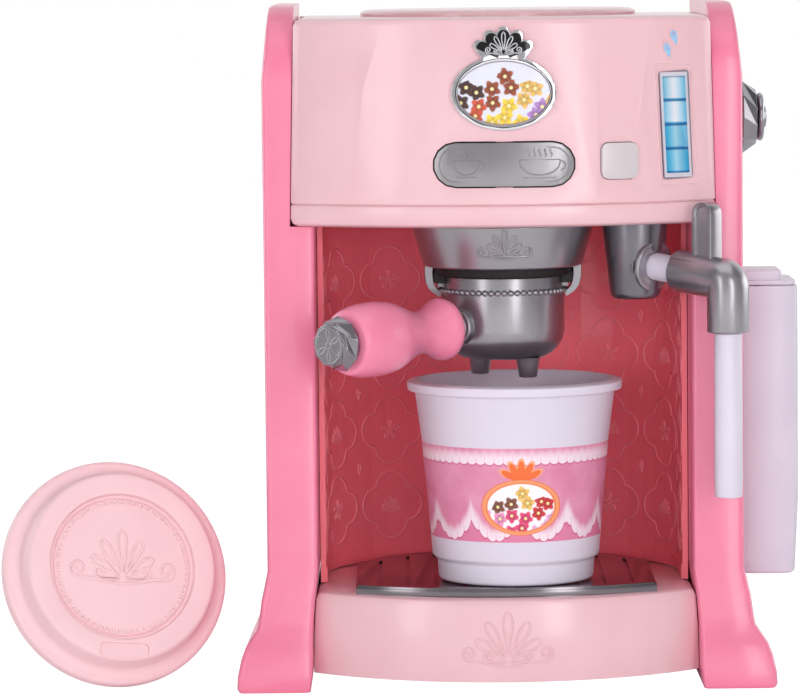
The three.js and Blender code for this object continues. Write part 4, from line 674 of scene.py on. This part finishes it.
# Badge: a chrome frame on the head, an oval with a scalloped crest. A black enamel ground lies inside the
# crest under raised chrome petals, and a thin black line runs round inside the oval.
BADGE_CENTRE = 240.7
CREST_FOOT = 253.3
CREST_RADIUS = 13.6
HEAD_LOW = 187.5
HEAD_TALL = 82.7
HEAD_APEX = -30
HEAD_RISE = 27
SCALLOP_PACE = 5 * pi / radians(144)


def on_head(u, z, proud=0.0):
    half = 85.1 - 2 * (z - HEAD_LOW) / HEAD_TALL
    radius = (half * half + HEAD_RISE ** 2) / (2 * HEAD_RISE)
    return at(u, HEAD_APEX + radius - sqrt(radius * radius - u * u) - proud, z)


# Millimetres to the right of and above a point on the machine's front, as a flat vector.
def front_plane(add, place, x, z):
    away = add('VectorMath', place, at(x, 0, z), operation='SUBTRACT')
    across, _, up = add('SeparateXYZ', away).outputs
    flat = add('CombineXYZ', across, up)
    return add('VectorMath', flat, 1 / MM, operation='SCALE')


def from_middle(add, flat):
    across, up, _ = add('SeparateXYZ', flat).outputs
    return add('VectorMath', flat, operation='LENGTH'), add('Math', across, up, operation='ARCTAN2')


# One inside the edge and nought outside it, with a soft border of the given width.
def within(add, distance, edge, border):
    less = add('Math', edge, distance, operation='SUBTRACT')
    return add('Math', less, border, operation='DIVIDE', use_clamp=True)


def off(add, value, middle):
    return add('Math', add('Math', value, middle, operation='SUBTRACT'), operation='ABSOLUTE')


# Humps side by side along an angle. Their pace is a half turn for each hump.
def humps(add, angle, pace):
    swing = add('Math', angle, pace, operation='MULTIPLY')
    return add('Math', add('Math', swing, operation='COSINE'), operation='ABSOLUTE')


badge_chrome, add, place = new_material("chrome plating with black enamel")
radius, angle = from_middle(add, front_plane(add, place, 0, CREST_FOOT))
lobe = add('Math', humps(add, angle, SCALLOP_PACE), operation='SQRT')
edge = add('Math', lobe, CREST_RADIUS * 0.2, CREST_RADIUS * 0.8 - 1.35, operation='MULTIPLY_ADD')
in_crest = within(add, radius, edge, 0.15)
turn = add('Math', angle, operation='ABSOLUTE')
sides = within(add, turn, radians(66), 0.03)
above = within(add, 2.6, radius, 0.15)
ground = add('Math', add('Math', in_crest, sides, operation='MULTIPLY'), above, operation='MULTIPLY')
oval_flat = front_plane(add, place, 0, BADGE_CENTRE)
oval = add('VectorMath', oval_flat, (1 / 20.7, 1 / 14.8, 1), operation='MULTIPLY')
reach = add('VectorMath', oval, operation='LENGTH')
line = within(add, off(add, reach, 0.915), 0.012, 0.006)
enamel = add('Math', ground, line, operation='MAXIMUM')
shade = add('ValToRGB', enamel, stops=[(0.2, "#DAD9DE"), (0.6, "#0C0A0C")])
plated = add('Math', 1.0, enamel, operation='SUBTRACT')
coated(add, place, shade, 0.09, 0.02, 0, plated)
finished(eased("badge_bezel", 0.5), badge_chrome, "machine")


def on_crest(u, v):
    return on_head(u, CREST_FOOT + 3.1 + v, 2.55)


bright_chrome = metallised("bright chrome plating", "#DAD9DE", "#CFCED4", 0.1, 0.02, 1)
laid("crest_petals", palmette(15, 8.2), on_crest, 0.34, bright_chrome, "machine")

# Badge plate: a printed oval under clear lacquer. The print is a bunch of flowers in brown, auburn and gold
# over a row in red, yellow and violet. Each flower has five petals round the middle of its own cell.
def bouquet(add, flat, size, upper, lower, half_width, split, top, droop, ground):
    cells = add('TexVoronoi', {
        'Vector': flat, 'Scale': 1 / size, 'Randomness': 0.55}, voronoi_dimensions='2D')
    away = add('VectorMath', flat, cells.outputs['Position'], operation='SUBTRACT')
    radius, angle = from_middle(add, away)
    own = add('SeparateColor', cells.outputs['Color'])
    phase = add('Math', own, 2 * pi, operation='MULTIPLY')
    swing = add('Math', angle, 5, phase, operation='MULTIPLY_ADD')
    wave = add('Math', swing, operation='COSINE')
    edge = add('Math', wave, size * 0.1, size * 0.56, operation='MULTIPLY_ADD')
    petals = within(add, radius, edge, size * 0.12)
    x, y, _ = add('SeparateXYZ', cells.outputs['Position']).outputs
    across = add('MapRange', x, -half_width, half_width)
    high = add('Math', y, split, operation='GREATER_THAN')
    upper_shade = add('ValToRGB', across, stops=upper, interpolation='CONSTANT')
    lower_shade = add('ValToRGB', across, stops=lower, interpolation='CONSTANT')
    colour = add('Mix', high, lower_shade, upper_shade, data_type='RGBA')
    depth = add('MapRange', radius, 0.0, size * 0.55, 0.6, 1.12)
    vein = add('Math', wave, 0.12, depth, operation='MULTIPLY_ADD')
    toned = add('Mix', 1.0, colour, vein, data_type='RGBA', blend_type='MULTIPLY')
    eye = within(add, radius, size * 0.15, size * 0.06)
    eyed = add('Mix', eye, toned, linear("#F6E2A0"), data_type='RGBA')
    square = add('Math', x, x, operation='MULTIPLY')
    bound = add('Math', square, droop, y, operation='MULTIPLY_ADD')
    inside = add('Math', bound, top, operation='LESS_THAN')
    mask = add('Math', petals, inside, operation='MULTIPLY')
    return add('Mix', mask, linear(ground), eyed, data_type='RGBA')


badge_print, add, place = new_material("flower print under lacquer")
shade = bouquet(
    add, front_plane(add, place, 0, BADGE_CENTRE), 6.0,
    [(0, "#4A2F2C"), (0.36, "#94462A"), (0.66, "#E0B25A")],
    [(0, "#C9502F"), (0.3, "#F0C93A"), (0.72, "#A977BE")],
    18, -4.5, 7.5, 0.022, "#DDDDEC")
coated(add, place, shade, 0.2, 0.02, 0.6)
dressed(badge_print, "badge_plate")

# Water gauge: a printed label under clear plastic, four blue cells with a pale streak down the middle and
# dark lines between them, in a lavender frame. It leans with the head's side.
GAUGE_CELL = 9.6
GAUGE_TURN = radians(28)
GAUGE_LEAN = tan(radians(2.6))


# The millimetres from a point in each direction.
def apart(add, place, point):
    away = add('Mapping', place, -point / MM, (0, 0, 0), (1 / MM, 1 / MM, 1 / MM))
    return add('SeparateXYZ', away).outputs


gauge_print, add, place = new_material("gauge print under clear plastic")
gauge_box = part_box("water_gauge")
x, _, rise = apart(add, place, (gauge_box[0] + gauge_box[1]) / 2)
out = add('Math', rise, GAUGE_LEAN, x, operation='MULTIPLY_ADD')
out = add('Math', out, cos(GAUGE_TURN), operation='DIVIDE')
streak = add('MapRange', out, -5.2, 5.2)
STREAK_STOPS = (0, 0.2, 0.45, 0.6, 0.85, 1)
empty_blues = ("#66AECD", "#9FC6DA", "#DADBE6", "#C9D8E4", "#88BFDA", "#58A8CC")
full_blues = ("#2B94C0", "#54AED2", "#9ACADE", "#80BBD7", "#46A4CC", "#218ABA")
upper = add('ValToRGB', streak, stops=list(zip(STREAK_STOPS, empty_blues)))
lower = add('ValToRGB', streak, stops=list(zip(STREAK_STOPS, full_blues)))
full = add('Math', rise, 1.2, operation='LESS_THAN')
cells = add('Mix', full, upper, lower, data_type='RGBA')
level = add('Math', rise, 1 / GAUGE_CELL, 2.0, operation='MULTIPLY_ADD')
joint = add('ValToRGB', add('Math', level, operation='FRACT'), stops=[
    (0, "#2B86B4"), (0.07, "#4FAFD8"), (0.12, "#FFFFFF"), (0.93, "#FFFFFF"), (1, "#2B86B4")])
lined = add('Mix', 1.0, cells, joint, data_type='RGBA', blend_type='MULTIPLY')
width = add('Math', out, operation='ABSOLUTE')
height = add('Math', rise, operation='ABSOLUTE')
in_cells = add(
    'Math', within(add, width, 5.3, 0.1), within(add, height, 2 * GAUGE_CELL, 0.1), operation='MULTIPLY')
framed = add('Math', within(add, width, 6.4, 0.1), within(add, height, 20.9, 0.1), operation='MULTIPLY')
framing = add('ValToRGB', framed, stops=[(0.3, "#7F7A88"), (0.7, "#CBC6D2")])
shade = add('Mix', in_cells, framing, lined, data_type='RGBA')
coated(add, place, shade, 0.18, 0.02, 0.5)
finished(eased("water_gauge", 0.15, 2), gauge_print, "machine")

# Gauge surround: the head rises round the label in a thin frame of its own plastic. Two drops stand above
# the frame, and they are filled in with blue print.
GAUGE_X = 68.6
GAUGE_Z = 227


def on_gauge(u, v):
    return on_head(GAUGE_X + u * cos(GAUGE_TURN) - v * GAUGE_LEAN, GAUGE_Z + v, -0.1)


def rounded_box(width, height, corner):
    across = width / 2 - corner
    up = height / 2 - corner
    stroke = []
    for x, y, start in ((across, up, 0), (-across, up, 90), (-across, -up, 180), (across, -up, 270)):
        stroke += arc(x, y, corner, start, 90, 4)
    return stroke + stroke[:1]


DROP_LENGTH = 9
DROP_PLACES = ((-1.2, 29), (2.2, 34))


def drops(fills):
    shape = petal(-14, DROP_LENGTH, 5)
    return [[(x + fill * u, y + fill * (v - DROP_LENGTH / 2)) for u, v in shape]
            for x, y in DROP_PLACES for fill in fills]


laid("gauge_surround", [rounded_box(17, 48, 1.5)] + drops([1.0]),
     on_gauge, 0.35, head_pink, "machine")
drop_blue = moulded_abs("blue pad print", "#A9CDEA", "#8DBBE2", roughness=0.25)
laid("gauge_drops", drops([0.2, 0.45, 0.7]), on_gauge, 0.42, drop_blue, "machine")

# Brew rocker: a metallised pill that tips about its middle. It has a raised rim, and each half carries the
# sign of a steaming cup, a small one and a large one.
ROCKER_Z = 212.5
rocker_silver = metallised("satin metallised plastic, light", "#A9A6AA", "#9D9A9F", 0.3)
finished(eased("brew_rocker", 0.6), rocker_silver, "rocker")


def on_rocker(u, v):
    return on_head(u, ROCKER_Z + v, 0.8)


# A bowl, its ear and saucer, and a few wisps of steam.
def cup_sign(x, y, width, height, wisps):
    half = width / 2
    bowl = [(-half, height / 2)]
    bowl += [(half * cos(a), height / 2 - height * sin(-a) ** 0.8)
             for a in [-pi + pi * i / 14 for i in range(1, 14)]]
    bowl += [(half, height / 2), (-half, height / 2)]
    ear = [(half + height * 0.02 + height * 0.32 * sin(a), height * 0.12 - height * 0.3 * cos(a))
           for a in [pi * i / 10 for i in range(11)]]
    saucer = [(-half * 0.8, -height * 0.68), (half * 0.8, -height * 0.68)]
    steam = [[(half * 0.55 * (2 * k / (wisps - 1) - 1) + 0.35 * sin(2 * pi * i / 8),
               height * 0.72 + height * 0.5 * i / 8) for i in range(9)] for k in range(wisps)]
    return moved([bowl, ear, saucer] + steam, x, y)


pill_rim = rounded_box(51.5, 13.6, 6.7)
laid("rocker_signs", [pill_rim] + cup_sign(-15, -1.2, 10, 5.5, 3) + cup_sign(14, -1.2, 16, 6, 5),
     on_rocker, 0.34, rocker_silver, "rocker")

# Push button: a square pad beside the rocker, moulded in pearl ABS. A rubber dome of the keypad lifts it
# again after a press.
button_pearl = moulded_abs("moulded ABS, pearl", "#CDC2C6", "#C8BDC1", roughness=0.32)
finished(eased("function_button", 0.5), button_pearl, "button")

# Drip tray: a vacuum-metallised plate, dark and glossy, so its top shows the bay's red walls. It lies in the
# base's top and is made a little wider than the solid.
TRAY_WIDENING = 1.026
tray_metal = metallised("vacuum-metallised plastic, dark", "#8E888D", "#847E83", 0.18, 0.03, 1)
tray = stretched(eased("drip_tray", 0.4), 39.8, 43, 38.9, 43)
bpy.ops.object.mode_set(mode='EDIT')
bpy.ops.transform.resize(value=(TRAY_WIDENING, 1, 1), center_override=at(-0.3, 0, 0))
bpy.ops.object.mode_set(mode='OBJECT')
finished(tray, tray_metal, "machine")

# Knob: a metallised knob cut like a stone on the right panel, with a bright ring cap. A clip behind the
# panel holds its shaft.
finished(eased("knob_body", 0.3, 2, 12), polished_silver, "knob")
finished(eased("knob_ring", 0.3), polished_silver, "knob")
dressed(satin_silver, "knob_retainer")

# Water tank and its lid: pearl white ABS mouldings. The tank slides down on a rail of the right panel, and
# the lid rests on the tank.
tank = stretched(eased("tank_body", 1.2), 41.7, 158.4, 40.4, 158.9)
finished(tank, pearl_white, "tank")
tank_lid = stretched(eased("tank_lid", 1.4), 156.3, 163.1, 156.3, 164.8)
finished(tank_lid, pearl_white, "tank_cover")
dressed(panel_pink, "tank_rail")

# Takeaway cup: a thin polypropylene cup with a rolled rim and a step above its foot. The sleeve is printed
# on: a row of beads and bead swags on pink, and an orange-rimmed medallion of flowers under a fan crest.
CUP_X = 4.4
CUP_BASE = 43.3
SLEEVE_RADIUS = 35.4
SLEEVE_LOW = 61.4
SLEEVE_HIGH = 99.4
SLEEVE_BEADS = 62
WALL_FOOT = 27.8
WALL_SLOPE = 0.0905
cup_print, add, place = new_material("polypropylene with printed sleeve")
x, y, height = apart(add, place, at(CUP_X, GROUP_Y, 0))
front = add('Math', y, -1.0, operation='MULTIPLY')
angle = add('Math', x, front, operation='ARCTAN2')
girth = add('Math', angle, SLEEVE_RADIUS, operation='MULTIPLY')
flat = add('CombineXYZ', girth, height)
mottle = add('TexNoise', flat, 1 / 14, 2)
sleeve = add('ValToRGB', mottle, stops=[(0.35, "#D780A1"), (0.65, "#E196B5")])
tile = add('VectorMath', flat, (6, 6, 6), (-6, -6, -6), operation='WRAP')
tile_radius = add('VectorMath', tile, operation='LENGTH')
lattice = within(add, off(add, tile_radius, 5.2), 0.3, 0.3)
faint = add('Math', lattice, 0.5, operation='MULTIPLY')
sleeve = add('Mix', faint, sleeve, linear("#DC7BA2"), data_type='RGBA')


# A lace of beads hangs from a curve: each bead is white at its round foot, over a darker pink line, and
# fades upwards into the ground.
def laced(add, ground, foot, tall, stretch):
    wave = humps(add, angle, SLEEVE_BEADS / 2)
    round_foot = add('Math', wave, 0.6, operation='POWER')
    rise = add('Math', height, foot, operation='SUBTRACT')
    level = add('Math', rise, stretch, operation='DIVIDE')
    up = add('Math', round_foot, 1.1, level, operation='MULTIPLY_ADD')
    alpha = add('ValToRGB', add('MapRange', up, 0.0, tall), stops=[
        (0, "#000000"), (0.02, "#F4F4F4"), (0.45, "#EDEDED"), (0.7, "#B8B8B8"), (0.85, "#707070"),
        (1, "#000000")])
    seam = add('MapRange', wave, 0.0, 0.3, 0.6, 1.0)
    white = add('Math', alpha, seam, operation='MULTIPLY')
    under = add('MapRange', up, -0.9, 0.0)
    below = add('Math', up, 0.15, operation='LESS_THAN')
    shadow = add('Math', under, below, operation='MULTIPLY')
    lined = add('Mix', shadow, ground, linear("#C9587F"), data_type='RGBA')
    return add('Mix', white, lined, linear("#F3E4EE"), data_type='RGBA')


deeper = add('MapRange', height, 62.0, 76.0, 0.8, 0.0)
sleeve = add('Mix', deeper, sleeve, linear("#DC78A0"), data_type='RGBA')
sleeve = laced(add, sleeve, 93.8, 6.2, 1.0)
SWAG = 2 * pi / 11
SWAG_PEAK = radians(1.5)
beyond = add('Math', angle, SWAG_PEAK, operation='SUBTRACT')
cycle = add('Math', beyond, SWAG / 2, operation='PINGPONG')
climb = add('MapRange', cycle, 0.0, SWAG / 2, 1.0, 0.0)
rising = add('Math', climb, 2.0, operation='POWER')
swag = add('Math', rising, 8.2, 62.8, operation='MULTIPLY_ADD')
stretch = add('Math', rising, 0.7, 1.0, operation='MULTIPLY_ADD')
sleeve = laced(add, sleeve, swag, 6, stretch)

MEDALLION_X = 1.4
MEDALLION_Z = 75.6
WIDE = 16.2
TALL = 11.4
FAN_Z = 85.6
oval = add(
    'Mapping', flat, (-MEDALLION_X / WIDE, -MEDALLION_Z / TALL, 0), (0, 0, 0), (1 / WIDE, 1 / TALL, 1))
reach = add('VectorMath', oval, operation='LENGTH')
flowers = bouquet(
    add, add('Mapping', flat, (-MEDALLION_X, -MEDALLION_Z, 0)), 5.2,
    [(0, "#7E4A3A"), (0.36, "#E5B860"), (0.66, "#C92F36")],
    [(0, "#E48FB8"), (0.32, "#D8406F"), (0.7, "#D9A0C8")],
    14, -2.4, 6.5, 0.03, "#F3EEF2")
ringed = add('ValToRGB', reach, stops=[
    (0.0, "#F4A57C"), (0.835, "#F4A57C"), (0.86, "#E9743C"), (0.9, "#F19A6A"), (0.965, "#F19A6A"),
    (0.985, "#E2602A")])
medallion = add('Mix', within(add, reach, 0.84, 0.01), ringed, flowers, data_type='RGBA')
fan_radius, fan_angle = from_middle(add, add('Mapping', flat, (-MEDALLION_X, -FAN_Z, 0)))
edge = add('Math', humps(add, fan_angle, SCALLOP_PACE), 3.4, 6.6, operation='MULTIPLY_ADD')
inner = add('Math', edge, 1.1, operation='SUBTRACT')
fan_turn = add('Math', fan_angle, operation='ABSOLUTE')
sides = within(add, fan_turn, radians(72), 0.03)
fan = add('Math', within(add, fan_radius, edge, 0.2), sides, operation='MULTIPLY')
in_fan = within(add, fan_radius, inner, 0.2)
fan_shade = add('Mix', in_fan, linear("#F5A67A"), linear("#EC6B30"), data_type='RGBA')
sleeve = add('Mix', fan, sleeve, fan_shade, data_type='RGBA')
sleeve = add('Mix', within(add, reach, 1.0, 0.01), sleeve, medallion, data_type='RGBA')
off_middle = off(add, height, (SLEEVE_LOW + SLEEVE_HIGH) / 2)
on_sleeve = within(add, off_middle, (SLEEVE_HIGH - SLEEVE_LOW) / 2, 0.1)
from_axis = add('VectorMath', add('CombineXYZ', x, y), operation='LENGTH')
in_the_wall = add('Math', height, WALL_SLOPE, WALL_FOOT, operation='MULTIPLY_ADD')
outside = add('Math', from_axis, in_the_wall, operation='GREATER_THAN')
printed = add('Math', on_sleeve, outside, operation='MULTIPLY')
shade = add('Mix', printed, linear("#D9D1E0"), sleeve, data_type='RGBA')
coated(add, place, shade, 0.38, 0.04, 0.1)

cup = spun("cup_shell", [
    (0, 0, 0), (31.3, 0, 1.5), (31.8, 8.2, 0.5), (33.8, 9.8, 0.7), (34.5, 19.2, 0), (38, 58, 0),
    (40.5, 76.6, 0.7), (43.4, 76.8, 0.5), (43.6, 80.3, 0.7), (39.2, 81.1, 0.6), (36.6, 60, 0), (32.4, 11, 2),
    (29.4, 2, 2), (0, 1.8, 0),
], Matrix.Translation(at(CUP_X, GROUP_Y, CUP_BASE)), steps=128)
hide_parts("cup_body")
finished(cup, cup_print, "cup")

# Cup lid: a soft pink polyethylene cap with a rolled rim and a raised top, stood on its edge. A round panel
# is sunk in the top inside a ring of beads, and the sip mark is sunk under it.
LID_LEAN = radians(20)
LID_TURN = radians(19.2)
LID_SPIN = radians(-5.5)
LID_RADIUS = 46.9
LID_BEADS = 64
LID_BEAD_RADIUS = 27
level_share = cos(LID_LEAN)
outward = Vector((level_share * sin(LID_TURN), -level_share * cos(LID_TURN), sin(LID_LEAN)))
upward = (Vector((0, 0, 1)) - outward * outward.z).normalized()
sideways = upward.cross(outward)
lid_frame = Matrix((sideways, upward, outward)).transposed().to_4x4()
lid_place = Matrix.Translation(at(-160, 25, LID_RADIUS * level_share)) @ lid_frame
lid_place = lid_place @ Matrix.Rotation(LID_SPIN, 4, 'Z')
lid = spun("lid_cap", [
    (0, 14.7, 0), (28.2, 14.7, 0.3), (28.7, 13.7, 0.3), (29.9, 13.7, 0.3), (30.3, 16.2, 0.4),
    (38.9, 16.3, 1.6), (40.6, 6.6, 1.4), (43.4, 5.2, 1), (46.2, 5.6, 1.6), (LID_RADIUS, 2.6, 1.5),
    (46.8, 0, 0.4), (45.2, 0, 0.3), (45, 3.2, 1), (39.4, 4.4, 0.8), (37.6, 14.2, 0.8), (31.6, 14.2, 0.6),
    (31, 12.3, 0.6), (0, 12.3, 0),
], lid_place, steps=144)
sip = block("sip_mark", Vector((0, -34.7, 16.9)), (20.6, 6, 3.6))
picked(sip, lambda middle, way: abs(way.z) > 0.9, 'EDGE')
bpy.ops.mesh.bevel(offset=2.3 * MM, segments=8)
placed(sip, lid_place)
cut_out = lid.modifiers.new("sip", 'BOOLEAN')
cut_out.object = sip
cut_out.solver = 'EXACT'
alone(lid)
bpy.ops.object.modifier_apply(modifier="sip")
bpy.data.objects.remove(sip)
bpy.ops.object.shade_smooth_by_angle(angle=radians(34))
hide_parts("cup_lid")
lid_pink = moulded_abs("moulded soft polyethylene, blush", "#F1CBD1", "#EFC7CE", roughness=0.42, coat=0)
finished(lid, lid_pink, "lid")


def on_lid(u, v):
    return lid_place @ Vector((u * MM, v * MM, 14.75 * MM))


laid("lid_palmette", moved(palmette(46, 20), 0, -5), on_lid, 0.65, lid_pink, "lid")
inner_ends = ring_stroke(LID_BEAD_RADIUS * 0.975, LID_BEADS)
outer_ends = ring_stroke(LID_BEAD_RADIUS * 1.025, LID_BEADS)
bead_marks = list(zip(inner_ends, outer_ends))[:LID_BEADS]
laid("lid_beads", bead_marks, on_lid, 0.9, lid_pink, "lid")

# Screws and pin: zinc-plated steel. Pan-head screws hold the covers at the back and below, and the rocker
# tips on the pin.
screw_steel = clouded("zinc-plated steel", "#B9BABF", "#A4A6AD", 0.34, 2, 0.08, 1.0)
dressed(screw_steel, "battery_door_screw", "rocker_pin",
        *[f"{cover}_screw_{i}" for cover in ("rear", "base") for i in (1, 2, 3, 4)])

# Works inside: cells in printed sleeves between spring steel contacts, a green board, a rubber keypad and a
# speaker. The covers hide them.
battery_case, add, place = new_material("printed battery sleeve")
x, _, _ = add('SeparateXYZ', place).outputs
across = add('Math', x, row_x, operation='SUBTRACT')
shade = add(
    'ValToRGB', add('MapRange', across, -25.3 * MM, 25.3 * MM), interpolation='CONSTANT',
    stops=[(0, "#C2C4C8"), (0.02, "#C98A3E"), (0.3, "#26262B"), (0.97, "#C2C4C8")])
coated(add, place, shade, 0.3, 0.03, 0.3)
dressed(battery_case, "battery_1", "battery_2", "battery_3")
contact_steel = clouded("nickel-plated spring steel", "#C6C4BE", "#B4B1AA", 0.28, 1.5, 0.05, 1.0)
dressed(contact_steel, "battery_contact_left", "battery_contact_right")
dressed(clouded("solder mask over glass fibre", "#2F6B45", "#265A3A", 0.35, 4), "circuit_board")
dressed(clouded("silicone rubber, grey", "#8D8A90", "#817E85", 0.6, 3, 0.3), "keypad")
dressed(clouded("pressed paper cone, black", "#1E1D20", "#151417", 0.7, 0.8, 0.4), "speaker")

# Floor: a white table. The camera sees it as bright as the background, a little darker where the pieces
# shade it.
bpy.ops.object.select_all(action='DESELECT')
bpy.ops.mesh.primitive_plane_add(size=6, location=(0, 1.2, -0.0004))
floor = bpy.context.object
floor.name = floor.data.name = "table"
table_white, add, place = new_material("white laminate")
grain = add('TexNoise', place, 1 / (6 * MM), 2)
shade = add('ValToRGB', grain, stops=[(0.3, "#FAFAFA"), (0.7, "#FFFFFF")])
lit = add('BsdfDiffuse', shade)
glow = add('Emission', shade, 1.2)
far = add('VectorMath', place, operation='LENGTH')
share = add('MapRange', far, 0.3, 1.0, 0.8, 1.0)
blend = add('MixShader', share, lit, glow)
ray = add('LightPath')
seen = add('MixShader', ray.outputs['Is Camera Ray'], lit, blend)
add('OutputMaterial', seen)
floor.data.materials.append(table_white)

# Lamps: tall soft boxes left and right of the camera give the head its two bright bands. A wide one under
# the camera fills the cup bay and isn't mirrored, and others light the sides, top and back.
def soft_box(name, place, width, height, power, mirrored=True):
    light = bpy.data.lights.new(name, 'AREA')
    light.shape = 'RECTANGLE'
    light.size = width
    light.size_y = height
    light.energy = power
    lamp = bpy.data.objects.new(name, light)
    bpy.context.collection.objects.link(lamp)
    aim = at(0, 20, 130) - place
    lamp.matrix_world = Matrix.Translation(place) @ aim.to_track_quat('-Z', 'Y').to_matrix().to_4x4()
    lamp.visible_glossy = mirrored


soft_box("soft_box_left", at(-780, -930, 420), 0.26, 0.9, 1.9)
soft_box("soft_box_right", at(480, -1150, 420), 0.26, 0.9, 2.6)
soft_box("soft_box_top", at(0, -150, 1200), 1.1, 0.9, 3)
soft_box("soft_box_front", at(0, -1500, 250), 1.4, 0.5, 10.2, False)
soft_box("soft_box_side_left", at(-1400, 600, 400), 1.2, 0.7, 5)
soft_box("soft_box_side_right", at(1400, 500, 400), 1.2, 0.7, 5)
soft_box("soft_box_back", at(200, 1500, 600), 1.5, 0.9, 5, False)
world = bpy.data.worlds.new("studio")
bpy.context.scene.world = world
world.use_nodes = True
world.node_tree.nodes.clear()
add = partial(added, world.node_tree)
ray = add('LightPath')
way = add('SeparateXYZ', add('TexCoord').outputs['Generated'])
ahead = add('MapRange', way.outputs['Y'], -1.0, 1.0)
mirrored = add('ValToRGB', ahead, stops=[
    (0, "#BCBCBC"), (0.25, "#A2A2A2"), (0.45, "#6C6C6C"), (0.6, "#8C8C8C"), (0.78, "#FFFFFF")])
glossy = add('Mix', ray.outputs['Is Glossy Ray'], 0.3, mirrored, data_type='FLOAT')
plain_ray = add(
    'Math', ray.outputs['Is Camera Ray'], ray.outputs['Is Transmission Ray'], operation='MAXIMUM')
level = add('Mix', plain_ray, glossy, 1.0, data_type='FLOAT')
light = add('Background', (1, 1, 1, 1), level)
add('OutputWorld', light)
bpy.context.scene.view_settings.view_transform = 'Standard'
